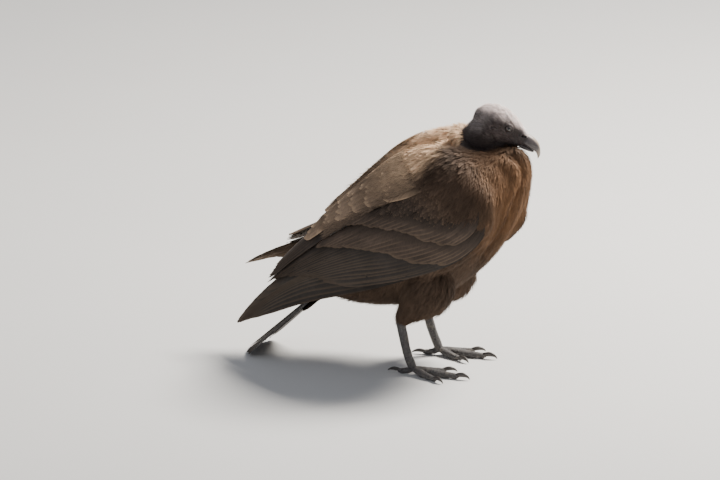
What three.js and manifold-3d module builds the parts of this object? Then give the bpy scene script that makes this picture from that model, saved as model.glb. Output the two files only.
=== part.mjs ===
// A life-size young Andean condor, standing with its neck drawn in, its wings folded and its tail down.
// Millimetres: +X is the way the body faces, +Y its left and +Z up. The bird stands on the plane z = 0.
import * as THREE from "three";
import { mergeVertices } from "three/addons/utils/BufferGeometryUtils.js";
import Module from "manifold-3d";

const wasm = await Module();
wasm.setup();

// Driving dimensions.
const GAP = 0.35; // clearance between neighbouring solids
const BODY_PITCH = THREE.MathUtils.degToRad(44); // the trunk's slope, chest up
const TRUNK_REAR = -60; // rear end of the trunk, along its own axis
const TRUNK_FRONT = 490; // front of the crop, along the same axis
const HEAD_AT = new THREE.Vector3(166, 15, 545); // between the eyes
const HEAD_PITCH = THREE.MathUtils.degToRad(30); // bill down
const HEAD_YAW = THREE.MathUtils.degToRad(20); // turned to the bird's left
const EYE = { x: 2, y: 24.5, z: 6, radius: 8.5 };
const BILL_BASE = 50; // where the horn of the bill starts, ahead of the eyes
const NECK_FOOT = new THREE.Vector3(98, 0, 452);
const NECK_MIDDLE = new THREE.Vector3(107, 0, 508);
const NECK_TOP = new THREE.Vector3(136, 3, 553);
const FOOT_AT = { x: -8, y: 84 };
const HOCK = { x: -44, y: 78, z: 119 };
const TOES = [
  { name: "inner", length: 72, turn: 30, radius: 8.5 },
  { name: "middle", length: 106, turn: -2, radius: 9.5 },
  { name: "outer", length: 78, turn: -32, radius: 8.5 },
  { name: "hind", length: 38, turn: 172, radius: 7.5 },
];
const TOE_FLAT = 0.8; // how far a toe's pad is pressed flat
const CLAW_LENGTH = 24;
const MOUTH = { x: 29, y: 26, z: -17 };
const COLLAR = { at: new THREE.Vector3(110, 0, 507), radius: 52, wide: 1.08, thick: 17, nape: -5 };
const RUFF_TIERS = [
  { count: 20, offset: 0, up: -7, fall: 54, reach: 46, lift: 5, half: 11, thick: 4 },
  { count: 18, offset: 0.5, up: 4, fall: 32, reach: 38, lift: 15, half: 10, thick: 4 },
];
const STATION_STEP = 64;
const LEFT_WING_RISE = 0.27; // how far the left wing's rear stands off the back, per millimetre
const LEFT_WING_SHORTER = 0.25;
const LEFT_WING_FULLER = 8; // how much fuller the left wing's middle is
const PRIMARIES = {
  tips: [
    [-150, 0.48],
    [-212, 0.46],
    [-252, 0.48],
    [-266, 0.58],
    [-246, 0.72],
    [-206, 0.9],
  ],
  rootPlace: 320,
  rootStep: 17,
  rootShare: 0.84,
  height: -11.5,
  spacing: 2.35,
  half: 20,
  thick: 1.2,
  sink: 0,
};
// Rows of the wing's other feathers. Roots and tips are [place, share], for the first feather and the last.
const WING_ROWS = [
  {
    name: "secondaries",
    count: 10,
    roots: [[352, 0.86], [122, 0.46]],
    tips: [[8, 0.84], [-136, 0.36]],
    height: -5,
    half: 17,
    thick: 1.5,
    tilt: 3.2,
    sink: 2,
  },
  {
    name: "tertials",
    count: 3,
    roots: [[108, 0.31], [72, 0.08]],
    tips: [[-128, 0.3], [-96, 0.1]],
    height: -0.5,
    half: 22,
    thick: 1.5,
    tilt: 3,
    sink: 4,
  },
  {
    name: "greater_coverts",
    count: 9,
    roots: [[378, 0.83], [168, 0.45]],
    tips: [[226, 0.83], [26, 0.44]],
    height: 2,
    half: 14.5,
    thick: 1.3,
    tilt: 2.4,
    sink: 1.2,
  },
  {
    name: "median_coverts",
    count: 8,
    roots: [[384, 0.74], [205, 0.42]],
    tips: [[292, 0.74], [122, 0.42]],
    height: 8.2,
    half: 14.5,
    thick: 1.3,
    tilt: 2.4,
    sink: 1.5,
  },
  {
    name: "lower_scapulars",
    count: 4,
    roots: [[215, 0.27], [222, 0.04]],
    tips: [[10, 0.26], [40, 0.05]],
    height: 6.5,
    half: 22,
    thick: 1.6,
    tilt: 3.4,
    sink: 5,
  },
  {
    name: "upper_scapulars",
    count: 5,
    roots: [[322, 0.42], [318, 0.06]],
    tips: [[180, 0.33], [166, 0.05]],
    height: 13.5,
    half: 20,
    thick: 1.6,
    tilt: 2.4,
    sink: 11,
  },
];
const ARM_FRONT = 424;
// The arm's height at each distance ahead of the root line.
const ARM_STEPS = [
  [-34, -24],
  [0, -1],
  [30, 5.5],
  [60, 10.5],
];
const TAIL = { root: -5, tip: -296, rootUp: 272, tipUp: 285.4, rootHalf: 40, tipHalf: 88, droop: 14 };
const TAIL_ROWS = [
  {
    name: "tail_feathers",
    count: 12,
    side: 1,
    root: -12,
    tip: -296,
    shorter: 20,
    spread: 0.84,
    height: 0,
    lean: 2.8,
    half: 19,
    thick: 1.6,
  },
  {
    name: "upper_coverts",
    count: 6,
    side: 1,
    root: -8,
    tip: -118,
    shorter: 26,
    spread: 0.78,
    height: 7.5,
    lean: 2,
    half: 17,
    thick: 1.6,
  },
  {
    name: "lower_coverts",
    count: 6,
    side: -1,
    root: -8,
    tip: -140,
    shorter: 30,
    spread: 0.78,
    height: -7,
    lean: 2,
    half: 17,
    thick: 1.6,
  },
];
const TROUSERS = { count: 8, from: 0.5, flare: 12, long: 16, short: 6, half: 9, thick: 4 };
const SIDES = { left: 1, right: -1 };
const degrees = THREE.MathUtils.degToRad;

const forward = new THREE.Vector3(Math.cos(BODY_PITCH), 0, Math.sin(BODY_PITCH));
const dorsal = new THREE.Vector3(-Math.sin(BODY_PITCH), 0, Math.cos(BODY_PITCH));
const left = new THREE.Vector3(0, 1, 0);

// A smooth function of one number through rows of [position, value, value, ...].
function through(rows) {
  const sorted = [...rows].sort((a, b) => a[0] - b[0]);
  const width = sorted[0].length - 1;
  const curve = new THREE.CubicInterpolant(
    sorted.map((row) => row[0]),
    sorted.flatMap((row) => row.slice(1)),
    width,
  );
  return (x) => Array.from(curve.evaluate(x));
}

// The point `along` the trunk's axis, `across` to the left and `up` its back.
function inTrunk(along, across, up) {
  return new THREE.Vector3()
    .addScaledVector(forward, along)
    .addScaledVector(left, across)
    .addScaledVector(dorsal, up);
}

// How full a round-ended body is at t, from nothing at its ends. The smaller `bluntness`, the blunter.
function capAt(t, bluntness) {
  return t > 1e-6 && t < 1 - 1e-6 ? Math.pow(Math.sin(t * Math.PI), bluntness) : 0;
}

// A closed body whose rings are placed by at(t, angle), t from 0 to 1 and angle round the ring.
function ringed(at, rings, sides) {
  const geometry = new THREE.SphereGeometry(1, sides, rings);
  const position = geometry.attributes.position;
  const uv = geometry.attributes.uv;
  for (let i = 0; i < position.count; i += 1) {
    const point = at(1 - uv.getY(i), uv.getX(i) * 2 * Math.PI);
    position.setXYZ(i, point.x, point.y, point.z);
  }
  return closed(geometry);
}

// The geometry with shared vertices only, and its faces pointing out.
function closed(geometry) {
  const bare = new THREE.BufferGeometry();
  bare.setAttribute("position", geometry.attributes.position);
  bare.setIndex(geometry.index);
  const merged = mergeVertices(bare, 1e-3);
  const index = [];
  const given = merged.index.array;
  for (let i = 0; i < given.length; i += 3) {
    const [a, b, c] = [given[i], given[i + 1], given[i + 2]];
    if (a !== b && b !== c && a !== c) index.push(a, b, c);
  }
  merged.setIndex(index);
  if (volumeOf(merged) < 0) {
    for (let i = 0; i < index.length; i += 3) [index[i], index[i + 1]] = [index[i + 1], index[i]];
    merged.setIndex(index);
  }
  return merged;
}

function volumeOf(geometry) {
  const position = geometry.attributes.position;
  const index = geometry.index.array;
  const [a, b, c] = [new THREE.Vector3(), new THREE.Vector3(), new THREE.Vector3()];
  let volume = 0;
  for (let i = 0; i < index.length; i += 3) {
    a.fromBufferAttribute(position, index[i]);
    b.fromBufferAttribute(position, index[i + 1]);
    c.fromBufferAttribute(position, index[i + 2]);
    volume += a.dot(b.cross(c)) / 6;
  }
  return volume;
}

// The same body with its surface moved out by `amount` along the normals.
function grown(geometry, amount = GAP) {
  const copy = geometry.clone();
  copy.computeVertexNormals();
  const position = copy.attributes.position;
  const normal = copy.attributes.normal;
  for (let i = 0; i < position.count; i += 1)
    position.setXYZ(
      i,
      position.getX(i) + normal.getX(i) * amount,
      position.getY(i) + normal.getY(i) * amount,
      position.getZ(i) + normal.getZ(i) * amount,
    );
  copy.deleteAttribute("normal");
  return copy;
}

function solid(geometry) {
  return new wasm.Manifold(
    new wasm.Mesh({
      numProp: 3,
      vertProperties: new Float32Array(geometry.attributes.position.array),
      triVerts: new Uint32Array(geometry.index.array),
    }),
  );
}

// The union of several geometries, less the cutters, as its largest closed body.
function fuse(pieces, cutters = []) {
  let whole = pieces.map(solid).reduce((sum, piece) => sum.add(piece));
  for (const cutter of cutters) whole = whole.subtract(solid(cutter));
  const largest = whole.decompose().reduce((a, b) => (a.volume() > b.volume() ? a : b));
  const mesh = largest.getMesh();
  const geometry = new THREE.BufferGeometry();
  geometry.setAttribute("position", new THREE.BufferAttribute(mesh.vertProperties, 3));
  geometry.setIndex(new THREE.BufferAttribute(mesh.triVerts, 1));
  return geometry;
}

// How wide a feather is along its length, as a share of its half width.
const featherOutline = through([
  [0, 0.55],
  [0.4, 0.95],
  [0.8, 1],
  [0.95, 0.84],
  [1, 0.4],
]);
const FEATHER_STATIONS = [0, 0.4, 0.88, 1];

// A thin vane. place(u, across, height) gives its points, u running from its root (0) to its tip (1).
function vane(place, { half, thick, tilt = 0, stations = FEATHER_STATIONS, outline = featherOutline }) {
  const points = [];
  for (const u of stations) {
    const width = half * outline(u)[0];
    const slope = (tilt * width) / half;
    const depth = (thick * (1 - 0.55 * u)) / 2;
    points.push(place(u, -width, -slope - depth), place(u, width, slope - depth));
    points.push(place(u, width, slope + depth), place(u, -width, -slope + depth));
  }
  const faces = [0, 2, 1, 0, 3, 2];
  for (let i = 0; i < stations.length - 1; i += 1) {
    const [a, b] = [4 * i, 4 * i + 4];
    faces.push(a, a + 1, b + 1, a, b + 1, b);
    faces.push(a + 1, a + 2, b + 2, a + 1, b + 2, b + 1);
    faces.push(a + 3, b + 2, a + 2, a + 3, b + 3, b + 2);
    faces.push(a + 3, a, b, a + 3, b, b + 3);
  }
  const end = 4 * stations.length - 4;
  faces.push(end, end + 1, end + 2, end, end + 2, end + 3);
  const geometry = new THREE.BufferGeometry();
  const flat = points.flatMap((point) => point.toArray());
  geometry.setAttribute("position", new THREE.Float32BufferAttribute(flat, 3));
  geometry.setIndex(faces);
  return closed(geometry);
}

// The trunk's centre line, back and belly depths and half width, before its round ends narrow them.
const trunkShape = through([
  [-60, 272, 62, 84, 100],
  [26, 238, 123, 104, 110],
  [117, 212, 154, 122, 116],
  [213, 204, 163, 125, 118],
  [290, 201, 166, 122, 121],
  [354, 200, 160, 113, 124],
  [420, 200, 134, 103, 126],
  [490, 206, 80, 90, 130],
]);

function trunkAt(along, angle) {
  const middle = (TRUNK_FRONT + TRUNK_REAR) / 2;
  const half = (TRUNK_FRONT - TRUNK_REAR) / 2;
  const share = THREE.MathUtils.clamp((along - middle) / half, -1, 1);
  const narrowing = Math.abs(share) < 0.9999 ? Math.pow(1 - share * share, 0.4) : 0;
  const [centre, back, belly, width] = trunkShape(along);
  const upward = Math.cos(angle);
  const depth = upward > 0 ? back : belly;
  return inTrunk(along, Math.sin(angle) * width * narrowing, centre + upward * depth * narrowing);
}

function trunkBody() {
  const middle = (TRUNK_FRONT + TRUNK_REAR) / 2;
  const half = (TRUNK_FRONT - TRUNK_REAR) / 2;
  return ringed((t, angle) => trunkAt(middle - half * Math.cos(t * Math.PI), angle), 18, 22);
}

// The point round a curve at a share of its length, given a half width, a half depth and an angle.
function round(curve, share, angle, width, depth) {
  const tangent = curve.getTangentAt(share);
  const side = left.clone().addScaledVector(tangent, -left.dot(tangent)).normalize();
  return curve
    .getPointAt(share)
    .addScaledVector(side, Math.sin(angle) * width)
    .addScaledVector(tangent.cross(side), Math.cos(angle) * depth);
}

// A tube along a curve with round ends. sizes(share) gives its half width and half depth.
function limb(curve, sizes, rings, sides) {
  return ringed(
    (t, angle) => {
      const share = (1 - Math.cos(t * Math.PI)) / 2;
      const cap = capAt(t, 0.35);
      const [width, depth] = sizes(share);
      return round(curve, share, angle, width * cap, depth * cap);
    },
    rings,
    sides,
  );
}

const neckSizes = through([
  [0, 44, 42],
  [0.5, 37, 37],
  [1, 30, 33],
]);

function neckBody() {
  return limb(new THREE.CatmullRomCurve3([NECK_FOOT, NECK_MIDDLE, NECK_TOP]), neckSizes, 10, 20);
}

// Head shape, in its own frame: half width, top and bottom at each place ahead of the eyes.
const headShape = through([
  [-70, 30, 32, 40],
  [-45, 33, 38, 43],
  [-20, 34, 38, 43],
  [5, 30, 33, 40],
  [25, 23, 25, 33],
  [40, 17.5, 18, 26],
  [52, 15, 12.5, 21],
  [70, 12, 9.5, 18],
]);
const HEAD_REAR = -70;
const HEAD_FRONT = 62;

function headFrame() {
  const frame = new THREE.Matrix4().makeTranslation(HEAD_AT.x, HEAD_AT.y, HEAD_AT.z);
  frame.multiply(new THREE.Matrix4().makeRotationZ(HEAD_YAW));
  return frame.multiply(new THREE.Matrix4().makeRotationY(HEAD_PITCH));
}

function headBody() {
  return ringed(
    (t, angle) => {
      const along = (HEAD_REAR + HEAD_FRONT) / 2 - ((HEAD_FRONT - HEAD_REAR) / 2) * Math.cos(t * Math.PI);
      const cap = capAt(t, t < 0.5 ? 0.75 : 0.3);
      const [width, top, bottom] = headShape(along);
      const upward = Math.cos(angle);
      const height = upward > 0 ? top : bottom;
      return new THREE.Vector3(along, Math.sin(angle) * width * cap, upward * height * cap);
    },
    18,
    22,
  ).applyMatrix4(headFrame());
}

// A block ahead of (1) or behind (-1) one place in the head's frame.
function headBlock(place, way, size = 240) {
  const block = new THREE.BoxGeometry(size, size, size);
  block.translate(place + (way * size) / 2, 0, 0);
  return closed(block).applyMatrix4(headFrame());
}

// An ellipsoid in the head's frame.
function headBead(x, y, z, halfX, halfY, halfZ, sides = 10, rings = 6) {
  const bead = new THREE.SphereGeometry(1, sides, rings);
  bead.scale(halfX, halfY, halfZ);
  bead.translate(x, y, z);
  return closed(bead).applyMatrix4(headFrame());
}

// The swollen rim of the lids round one eye.
function lidRim(side) {
  const rim = new THREE.TorusGeometry(EYE.radius - 0.4, 2.3, 5, 14);
  rim.scale(1.12, 0.9, 1);
  rim.rotateX(Math.PI / 2);
  rim.rotateZ(side * degrees(-9));
  rim.translate(EYE.x, side * (EYE.y + 4.2), EYE.z);
  return closed(rim).applyMatrix4(headFrame());
}

// The groove of the mouth on one side, from its corner under the eye to the bill.
function mouthGroove(side) {
  const groove = new THREE.BoxGeometry(48, 9, 1.6);
  groove.rotateY(degrees(-4));
  groove.rotateZ(side * degrees(-17));
  groove.translate(MOUTH.x, side * MOUTH.y, MOUTH.z);
  return closed(groove).applyMatrix4(headFrame());
}

// The bill's upper horn, hooked at its tip, and the lower one.
const upperHorn = through([
  [38, 16, 16, -13],
  [50, 14.5, 13, -13.5],
  [60, 13.5, 11.5, -13],
  [70, 12, 9, -13],
  [80, 9.5, 4.5, -14],
  [87, 7, -2, -18],
  [94, 4, -11, -27],
]);
const lowerHorn = through([
  [38, 12, -14, -24],
  [60, 11, -14, -22],
  [78, 8, -15, -19.5],
]);

function horn(shape, from, to, rings, sides) {
  return ringed(
    (t, angle) => {
      const along = (from + to) / 2 - ((to - from) / 2) * Math.cos(t * Math.PI);
      const cap = capAt(t, 0.45);
      const [width, top, bottom] = shape(along);
      const across = Math.sin(angle) * width * cap;
      return new THREE.Vector3(along, across, (top + bottom + Math.cos(angle) * (top - bottom) * cap) / 2);
    },
    rings,
    sides,
  ).applyMatrix4(headFrame());
}

function eyeBall(side) {
  const ball = new THREE.SphereGeometry(EYE.radius, 12, 8);
  ball.translate(EYE.x, side * EYE.y, EYE.z);
  return closed(ball).applyMatrix4(headFrame());
}

// The ruff: a thick collar round the neck's foot, with locks that hang over the shoulders and the crop.
const collarSlope = new THREE.Vector3().subVectors(NECK_TOP, NECK_FOOT).normalize();
const collarAhead = new THREE.Vector3().crossVectors(left, collarSlope).normalize();

function collarAt(turn, radius, up) {
  return COLLAR.at
    .clone()
    .addScaledVector(collarAhead, Math.cos(turn) * radius)
    .addScaledVector(left, Math.sin(turn) * radius * COLLAR.wide)
    .addScaledVector(collarSlope, up + COLLAR.nape * Math.max(0, -Math.cos(turn)));
}

function collarRing() {
  const ring = new THREE.TorusGeometry(1, 1, 6, 22);
  const position = ring.attributes.position;
  const uv = ring.attributes.uv;
  for (let i = 0; i < position.count; i += 1) {
    const turn = uv.getX(i) * 2 * Math.PI;
    const tube = uv.getY(i) * 2 * Math.PI;
    const radius = COLLAR.radius + Math.cos(tube) * COLLAR.thick;
    const point = collarAt(turn, radius, Math.sin(tube) * COLLAR.thick * 1.1);
    position.setXYZ(i, point.x, point.y, point.z);
  }
  return closed(ring);
}

// The distance from the crop's middle to the trunk's surface in one direction.
const cropMiddle = inTrunk(370, 0, 212);

function trunkReach(direction, trunk) {
  const ray = new THREE.Ray(cropMiddle, direction);
  const position = trunk.attributes.position;
  const index = trunk.index.array;
  const corner = [new THREE.Vector3(), new THREE.Vector3(), new THREE.Vector3()];
  const hit = new THREE.Vector3();
  for (let i = 0; i < index.length; i += 3) {
    corner.forEach((point, k) => point.fromBufferAttribute(position, index[i + k]));
    if (ray.intersectTriangle(corner[0], corner[1], corner[2], false, hit)) {
      return hit.distanceTo(cropMiddle);
    }
  }
  return 0;
}

function ruffLock(turn, tier, trunk) {
  const spread = tier.reach + 3 * Math.sin(turn * 5 + tier.lift);
  const root = collarAt(turn, COLLAR.radius + 2, tier.up);
  const outward = collarAt(turn, COLLAR.radius + spread, -tier.fall).sub(cropMiddle).normalize();
  const tip = cropMiddle.clone().addScaledVector(outward, trunkReach(outward, trunk) + tier.lift);
  const bend = collarAt(turn, COLLAR.radius + COLLAR.thick + tier.lift + 4, tier.up - 3);
  const path = new THREE.QuadraticBezierCurve3(root, bend, tip);
  const sideways = collarAt(turn + 0.02, 100, 0).sub(collarAt(turn - 0.02, 100, 0)).normalize();
  const place = (u, across, height) => {
    const out = sideways.clone().cross(path.getTangent(u)).normalize();
    return path.getPoint(u).addScaledVector(sideways, across).addScaledVector(out, height);
  };
  return vane(place, {
    half: tier.half,
    thick: tier.thick,
    stations: [0, 0.6, 1],
    outline: lockOutline,
  });
}

const lockOutline = through([
  [0, 0.8],
  [0.4, 1],
  [0.75, 0.8],
  [1, 0.22],
]);

function ruff(trunk) {
  const locks = RUFF_TIERS.flatMap((tier) =>
    Array.from({ length: tier.count }, (_, i) =>
      ruffLock(((i + tier.offset) / tier.count) * 2 * Math.PI, tier, trunk),
    ),
  );
  return [collarRing(), ...locks];
}

// The folded wing lies on a shell round the trunk, given here by its centre, half depth and half width.
const wrapShape = through([
  [-290, 326, 44, 54],
  [-160, 306, 80, 80],
  [-80, 288, 104, 97],
  [0, 264, 130, 115],
  [70, 244, 150, 130],
  [140, 230, 162, 140],
  [213, 221, 168, 144],
  [290, 219, 164, 146],
  [354, 218, 152, 144],
  [430, 216, 116, 128],
]);

// Upper and lower edges of the folded wing, as angles round the shell.
const wingEdges = through([
  [-290, degrees(30), degrees(58)],
  [-160, degrees(20), degrees(84)],
  [-40, degrees(11), degrees(100)],
  [80, degrees(9), degrees(112)],
  [200, degrees(9), degrees(128)],
  [300, degrees(11), degrees(141)],
  [370, degrees(17), degrees(138)],
  [420, degrees(34), degrees(112)],
]);

function shoulderShare(place) {
  return THREE.MathUtils.smoothstep(place, -120, 60) * (1 - THREE.MathUtils.smoothstep(place, 240, 380));
}

// A point of the wing. `share` runs from its upper edge (0) to its lower (1); `height` is out from the shell.
// The left wing's rear is shorter and stands off the back.
function wingAt(place, share, across, height, side) {
  const behind = Math.max(0, -place);
  const upper = 1 - THREE.MathUtils.smoothstep(share, 0.3, 0.75);
  const raised = LEFT_WING_RISE * behind + LEFT_WING_FULLER * shoulderShare(place) * upper;
  const along = side > 0 ? place + LEFT_WING_SHORTER * behind : place;
  const [centre, depth, width] = wrapShape(place);
  const [first, last] = wingEdges(place);
  const turn = THREE.MathUtils.lerp(first, last, share) + (2 * across) / (depth + width);
  const squarer = (value) => Math.sign(value) * Math.pow(Math.abs(value), 0.86);
  return inTrunk(
    along,
    side * squarer(Math.sin(turn)) * (width + height),
    centre + (side > 0 ? raised : 0) + squarer(Math.cos(turn)) * (depth + height),
  );
}

// The line along the limb where the long feathers of the wing are rooted.
const rootLine = through([
  [0, 60],
  [0.38, 110],
  [0.86, 350],
  [1, 350],
]);

// The limb under the feathers, with a step at each row of feather roots.
function arm(side) {
  const columns = [...ARM_STEPS.map(([ahead]) => ahead), 0.4, 0.75, 1];
  const heights = [...ARM_STEPS.map(([, height]) => height), 8.5, 6, -16];
  const plate = new THREE.BoxGeometry(1, 1, 1, columns.length - 1, 7, 1);
  const position = plate.attributes.position;
  for (let i = 0; i < position.count; i += 1) {
    const column = Math.round((position.getX(i) + 0.5) * (columns.length - 1));
    const share = 0.93 * (position.getY(i) + 0.5);
    const root = rootLine(share)[0];
    const stepped = column < ARM_STEPS.length;
    const shoulder = root + ARM_STEPS.at(-1)[0];
    const place = stepped
      ? root + columns[column]
      : THREE.MathUtils.lerp(shoulder, ARM_FRONT, columns[column]);
    const edge = share < 0.01 || share > 0.92 ? -12 : 0;
    const back = stepped ? -3 * (1 - THREE.MathUtils.smoothstep(share, 0.38, 0.5)) : -2.5;
    const top = heights[column] + Math.min(edge, back);
    const point = wingAt(place, share, 0, position.getZ(i) > 0 ? top : -70, side);
    position.setXYZ(i, point.x, point.y, point.z);
  }
  return closed(plate);
}

// The hand, folded back along the wing's lower edge, which holds the primaries.
function hand(side) {
  const plate = new THREE.BoxGeometry(1, 1, 1, 4, 2, 1);
  const position = plate.attributes.position;
  for (let i = 0; i < position.count; i += 1) {
    const place = 175 + 215 * (position.getX(i) + 0.5);
    const share = 0.8 + 0.2 * (position.getY(i) + 0.5);
    const top = position.getX(i) > 0.4 ? -16 : -11;
    const point = wingAt(place, share, 0, position.getZ(i) > 0 ? top : -70, side);
    position.setXYZ(i, point.x, point.y, point.z);
  }
  return closed(plate);
}

// Stations at the same places on every feather, so that neighbours bend alike, with two more at the tip.
function stationsBetween(root, tip) {
  const length = root - tip;
  const stations = [0];
  for (let place = Math.floor(root / STATION_STEP) * STATION_STEP; place > tip + 26; place -= STATION_STEP)
    if (root - place > 12) stations.push((root - place) / length);
  return [...stations, 1 - 15 / length, 1];
}

// One feather of the wing, from its root to its tip, sunk in at the root by `sink`.
function wingFeather(side, [rootPlace, rootShare], [tipPlace, tipShare], height, shape) {
  const place = (u, across, up) => {
    const along = THREE.MathUtils.lerp(rootPlace, tipPlace, u);
    const share = THREE.MathUtils.lerp(rootShare, tipShare, u);
    const [, depth, width] = wrapShape(along);
    const narrowing = shape.narrows ? Math.min(1, (depth + width) / 300) : 1;
    const lift = height - shape.sink * Math.pow(1 - Math.min(1, u / 0.3), 2);
    return wingAt(along, share, across * narrowing, up + lift, side);
  };
  return vane(place, { ...shape, stations: stationsBetween(rootPlace, tipPlace) });
}

function wingRow(side, row) {
  return Array.from({ length: row.count }, (_, i) => {
    const k = row.count > 1 ? i / (row.count - 1) : 0;
    const at = (ends) => ends[0].map((value, n) => THREE.MathUtils.lerp(value, ends[1][n], k));
    return wingFeather(side, at(row.roots), at(row.tips), row.height, { ...row, narrows: true });
  });
}

function primaries(side) {
  return PRIMARIES.tips.map(([tipPlace, tipShare], i) => {
    const root = [PRIMARIES.rootPlace - PRIMARIES.rootStep * i, PRIMARIES.rootShare + 0.01 * i];
    const height = PRIMARIES.height - PRIMARIES.spacing * i;
    return wingFeather(side, root, [tipPlace, tipShare], height, PRIMARIES);
  });
}

function wingFeathers(side) {
  return [...primaries(side), ...WING_ROWS.flatMap((row) => wingRow(side, row))];
}

// A smooth envelope of the wing, which the thigh keeps clear of.
function wingRoom(side) {
  const plate = new THREE.BoxGeometry(1, 1, 1, 10, 6, 1);
  const position = plate.attributes.position;
  for (let i = 0; i < position.count; i += 1) {
    const place = -100 + 500 * (position.getX(i) + 0.5);
    const share = -0.05 + 1.13 * (position.getY(i) + 0.5);
    const point = wingAt(place, share, 0, position.getZ(i) > 0 ? 40 : -31, side);
    position.setXYZ(i, point.x, point.y, point.z);
  }
  return closed(plate);
}

// The tail fans out behind the rump and slopes down to the floor.
function tailAt(place, sideways, height) {
  const t = (TAIL.root - place) / (TAIL.root - TAIL.tip);
  const up = THREE.MathUtils.lerp(TAIL.rootUp, TAIL.tipUp, t);
  const droop = TAIL.droop * (sideways / TAIL.tipHalf) ** 2;
  return inTrunk(place, sideways, up + height - droop);
}

function tailFeather(fan, tip, height, shape, inward = 0) {
  const place = (u, across, up) => {
    const along = THREE.MathUtils.lerp(shape.root, tip, u);
    const t = (TAIL.root - along) / (TAIL.root - TAIL.tip);
    const spread = THREE.MathUtils.lerp(TAIL.rootHalf, TAIL.tipHalf, t);
    return tailAt(along, fan * spread + across, up + height);
  };
  return vane(place, { ...shape, tilt: inward });
}

function tail() {
  const feathers = [];
  for (const row of TAIL_ROWS) {
    for (let i = 0; i < row.count; i += 1) {
      const fan = ((i + 0.5) / row.count) * 2 - 1;
      const central = Math.abs(fan) < 1.2 / row.count;
      const height = row.height + row.side * (central ? (fan > 0 ? 4.4 : 2.2) : 0);
      const tip = row.tip + row.shorter * fan * fan;
      const inward = central ? 0 : row.side * Math.sign(fan) * row.lean;
      feathers.push(tailFeather(fan * row.spread, tip, height, row, inward));
    }
  }
  const stump = new THREE.BoxGeometry(1, 1, 1, 3, 6, 1);
  const position = stump.attributes.position;
  for (let i = 0; i < position.count; i += 1) {
    const place = 30 - 75 * (0.5 - position.getX(i));
    const edge = 1 - 3.2 * position.getY(i) ** 2;
    const reach = THREE.MathUtils.lerp(6, 17, THREE.MathUtils.smoothstep(place, -45, -15));
    const up = Math.sign(position.getZ(i)) * reach * edge;
    const point = tailAt(place, position.getY(i) * 2.3 * TAIL.rootHalf, up);
    position.setXYZ(i, point.x, point.y, point.z);
  }
  return [closed(stump), ...feathers];
}

// Thigh, shank and foot of one leg.
const thighSizes = through([
  [0, 50, 66],
  [0.4, 44, 56],
  [0.75, 25, 30],
  [1, 15, 17],
]);

function thighCurve(side) {
  return new THREE.CatmullRomCurve3([
    new THREE.Vector3(12, side * 58, 232),
    new THREE.Vector3(22, side * 72, 190),
    new THREE.Vector3(-14, side * 78, 146),
    new THREE.Vector3(HOCK.x, side * HOCK.y, HOCK.z - 8),
  ]);
}

// The loose feathers that hang from the thigh round the hock.
function trouserLocks(side) {
  const curve = thighCurve(side);
  return Array.from({ length: TROUSERS.count }, (_, i) => {
    const angle = ((i + 0.5) / TROUSERS.count) * 2 * Math.PI;
    const long = i % 2 ? TROUSERS.long : TROUSERS.short;
    const end = round(curve, 1, angle, 1, 1).sub(curve.getPointAt(1));
    const place = (u, across, height) => {
      const share = Math.min(1, THREE.MathUtils.lerp(TROUSERS.from, 1, u * 1.25));
      const [width, depth] = thighSizes(share);
      const out = height + THREE.MathUtils.lerp(-3, TROUSERS.flare, u);
      const point = round(curve, share, angle + across / (width + 10), width + out, depth + out);
      point.z -= long * Math.max(0, u - 0.5) * 2;
      return point.addScaledVector(end, u);
    };
    return vane(place, { ...TROUSERS, stations: [0, 0.4, 0.75, 1], outline: lockOutline });
  });
}

function shankBody(side) {
  const curve = new THREE.CatmullRomCurve3([
    new THREE.Vector3(HOCK.x + 2, side * HOCK.y, HOCK.z + 2),
    new THREE.Vector3(HOCK.x + 10, side * (HOCK.y + 1), HOCK.z - 30),
    new THREE.Vector3(FOOT_AT.x - 12, side * FOOT_AT.y, 40),
    new THREE.Vector3(FOOT_AT.x, side * FOOT_AT.y, 13),
  ]);
  const sizes = through([
    [0, 12, 13],
    [0.25, 9.5, 11],
    [0.7, 9, 10],
    [1, 12, 13],
  ]);
  return limb(curve, sizes, 10, 10);
}

// A place on a toe's line: `distance` out from the foot's middle, at height z.
function toePoint(toe, side, distance, z) {
  const turn = degrees(toe.turn) * -side;
  const y = side * FOOT_AT.y + Math.sin(turn) * distance;
  return new THREE.Vector3(FOOT_AT.x + Math.cos(turn) * distance, y, z);
}

function toeBody(toe, side) {
  const curve = new THREE.CatmullRomCurve3([
    toePoint(toe, side, 0, 13),
    toePoint(toe, side, toe.length / 2, 0.92 * toe.radius - TOE_FLAT),
    toePoint(toe, side, toe.length, 0.74 * toe.radius - TOE_FLAT),
  ]);
  const sizes = through([
    [0, toe.radius, toe.radius],
    [0.5, toe.radius * 0.92, toe.radius * 0.92],
    [1, toe.radius * 0.7, toe.radius * 0.7],
  ]);
  return limb(curve, sizes, 8, 8);
}

function clawBody(toe, side) {
  const thick = toe.radius * 0.55;
  const curve = new THREE.CatmullRomCurve3([
    toePoint(toe, side, toe.length - 9, toe.radius - 1),
    toePoint(toe, side, toe.length + CLAW_LENGTH * 0.35, toe.radius + 1),
    toePoint(toe, side, toe.length + CLAW_LENGTH * 0.8, toe.radius - 2),
    toePoint(toe, side, toe.length + CLAW_LENGTH, 2.2),
  ]);
  const sizes = through([
    [0, thick, thick],
    [0.5, thick * 0.85, thick],
    [1, 1.2, 1.4],
  ]);
  return limb(curve, sizes, 7, 8);
}

function floorBlock() {
  const block = new THREE.BoxGeometry(1200, 1200, 100);
  block.translate(0, 0, -50);
  return closed(block);
}

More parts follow.
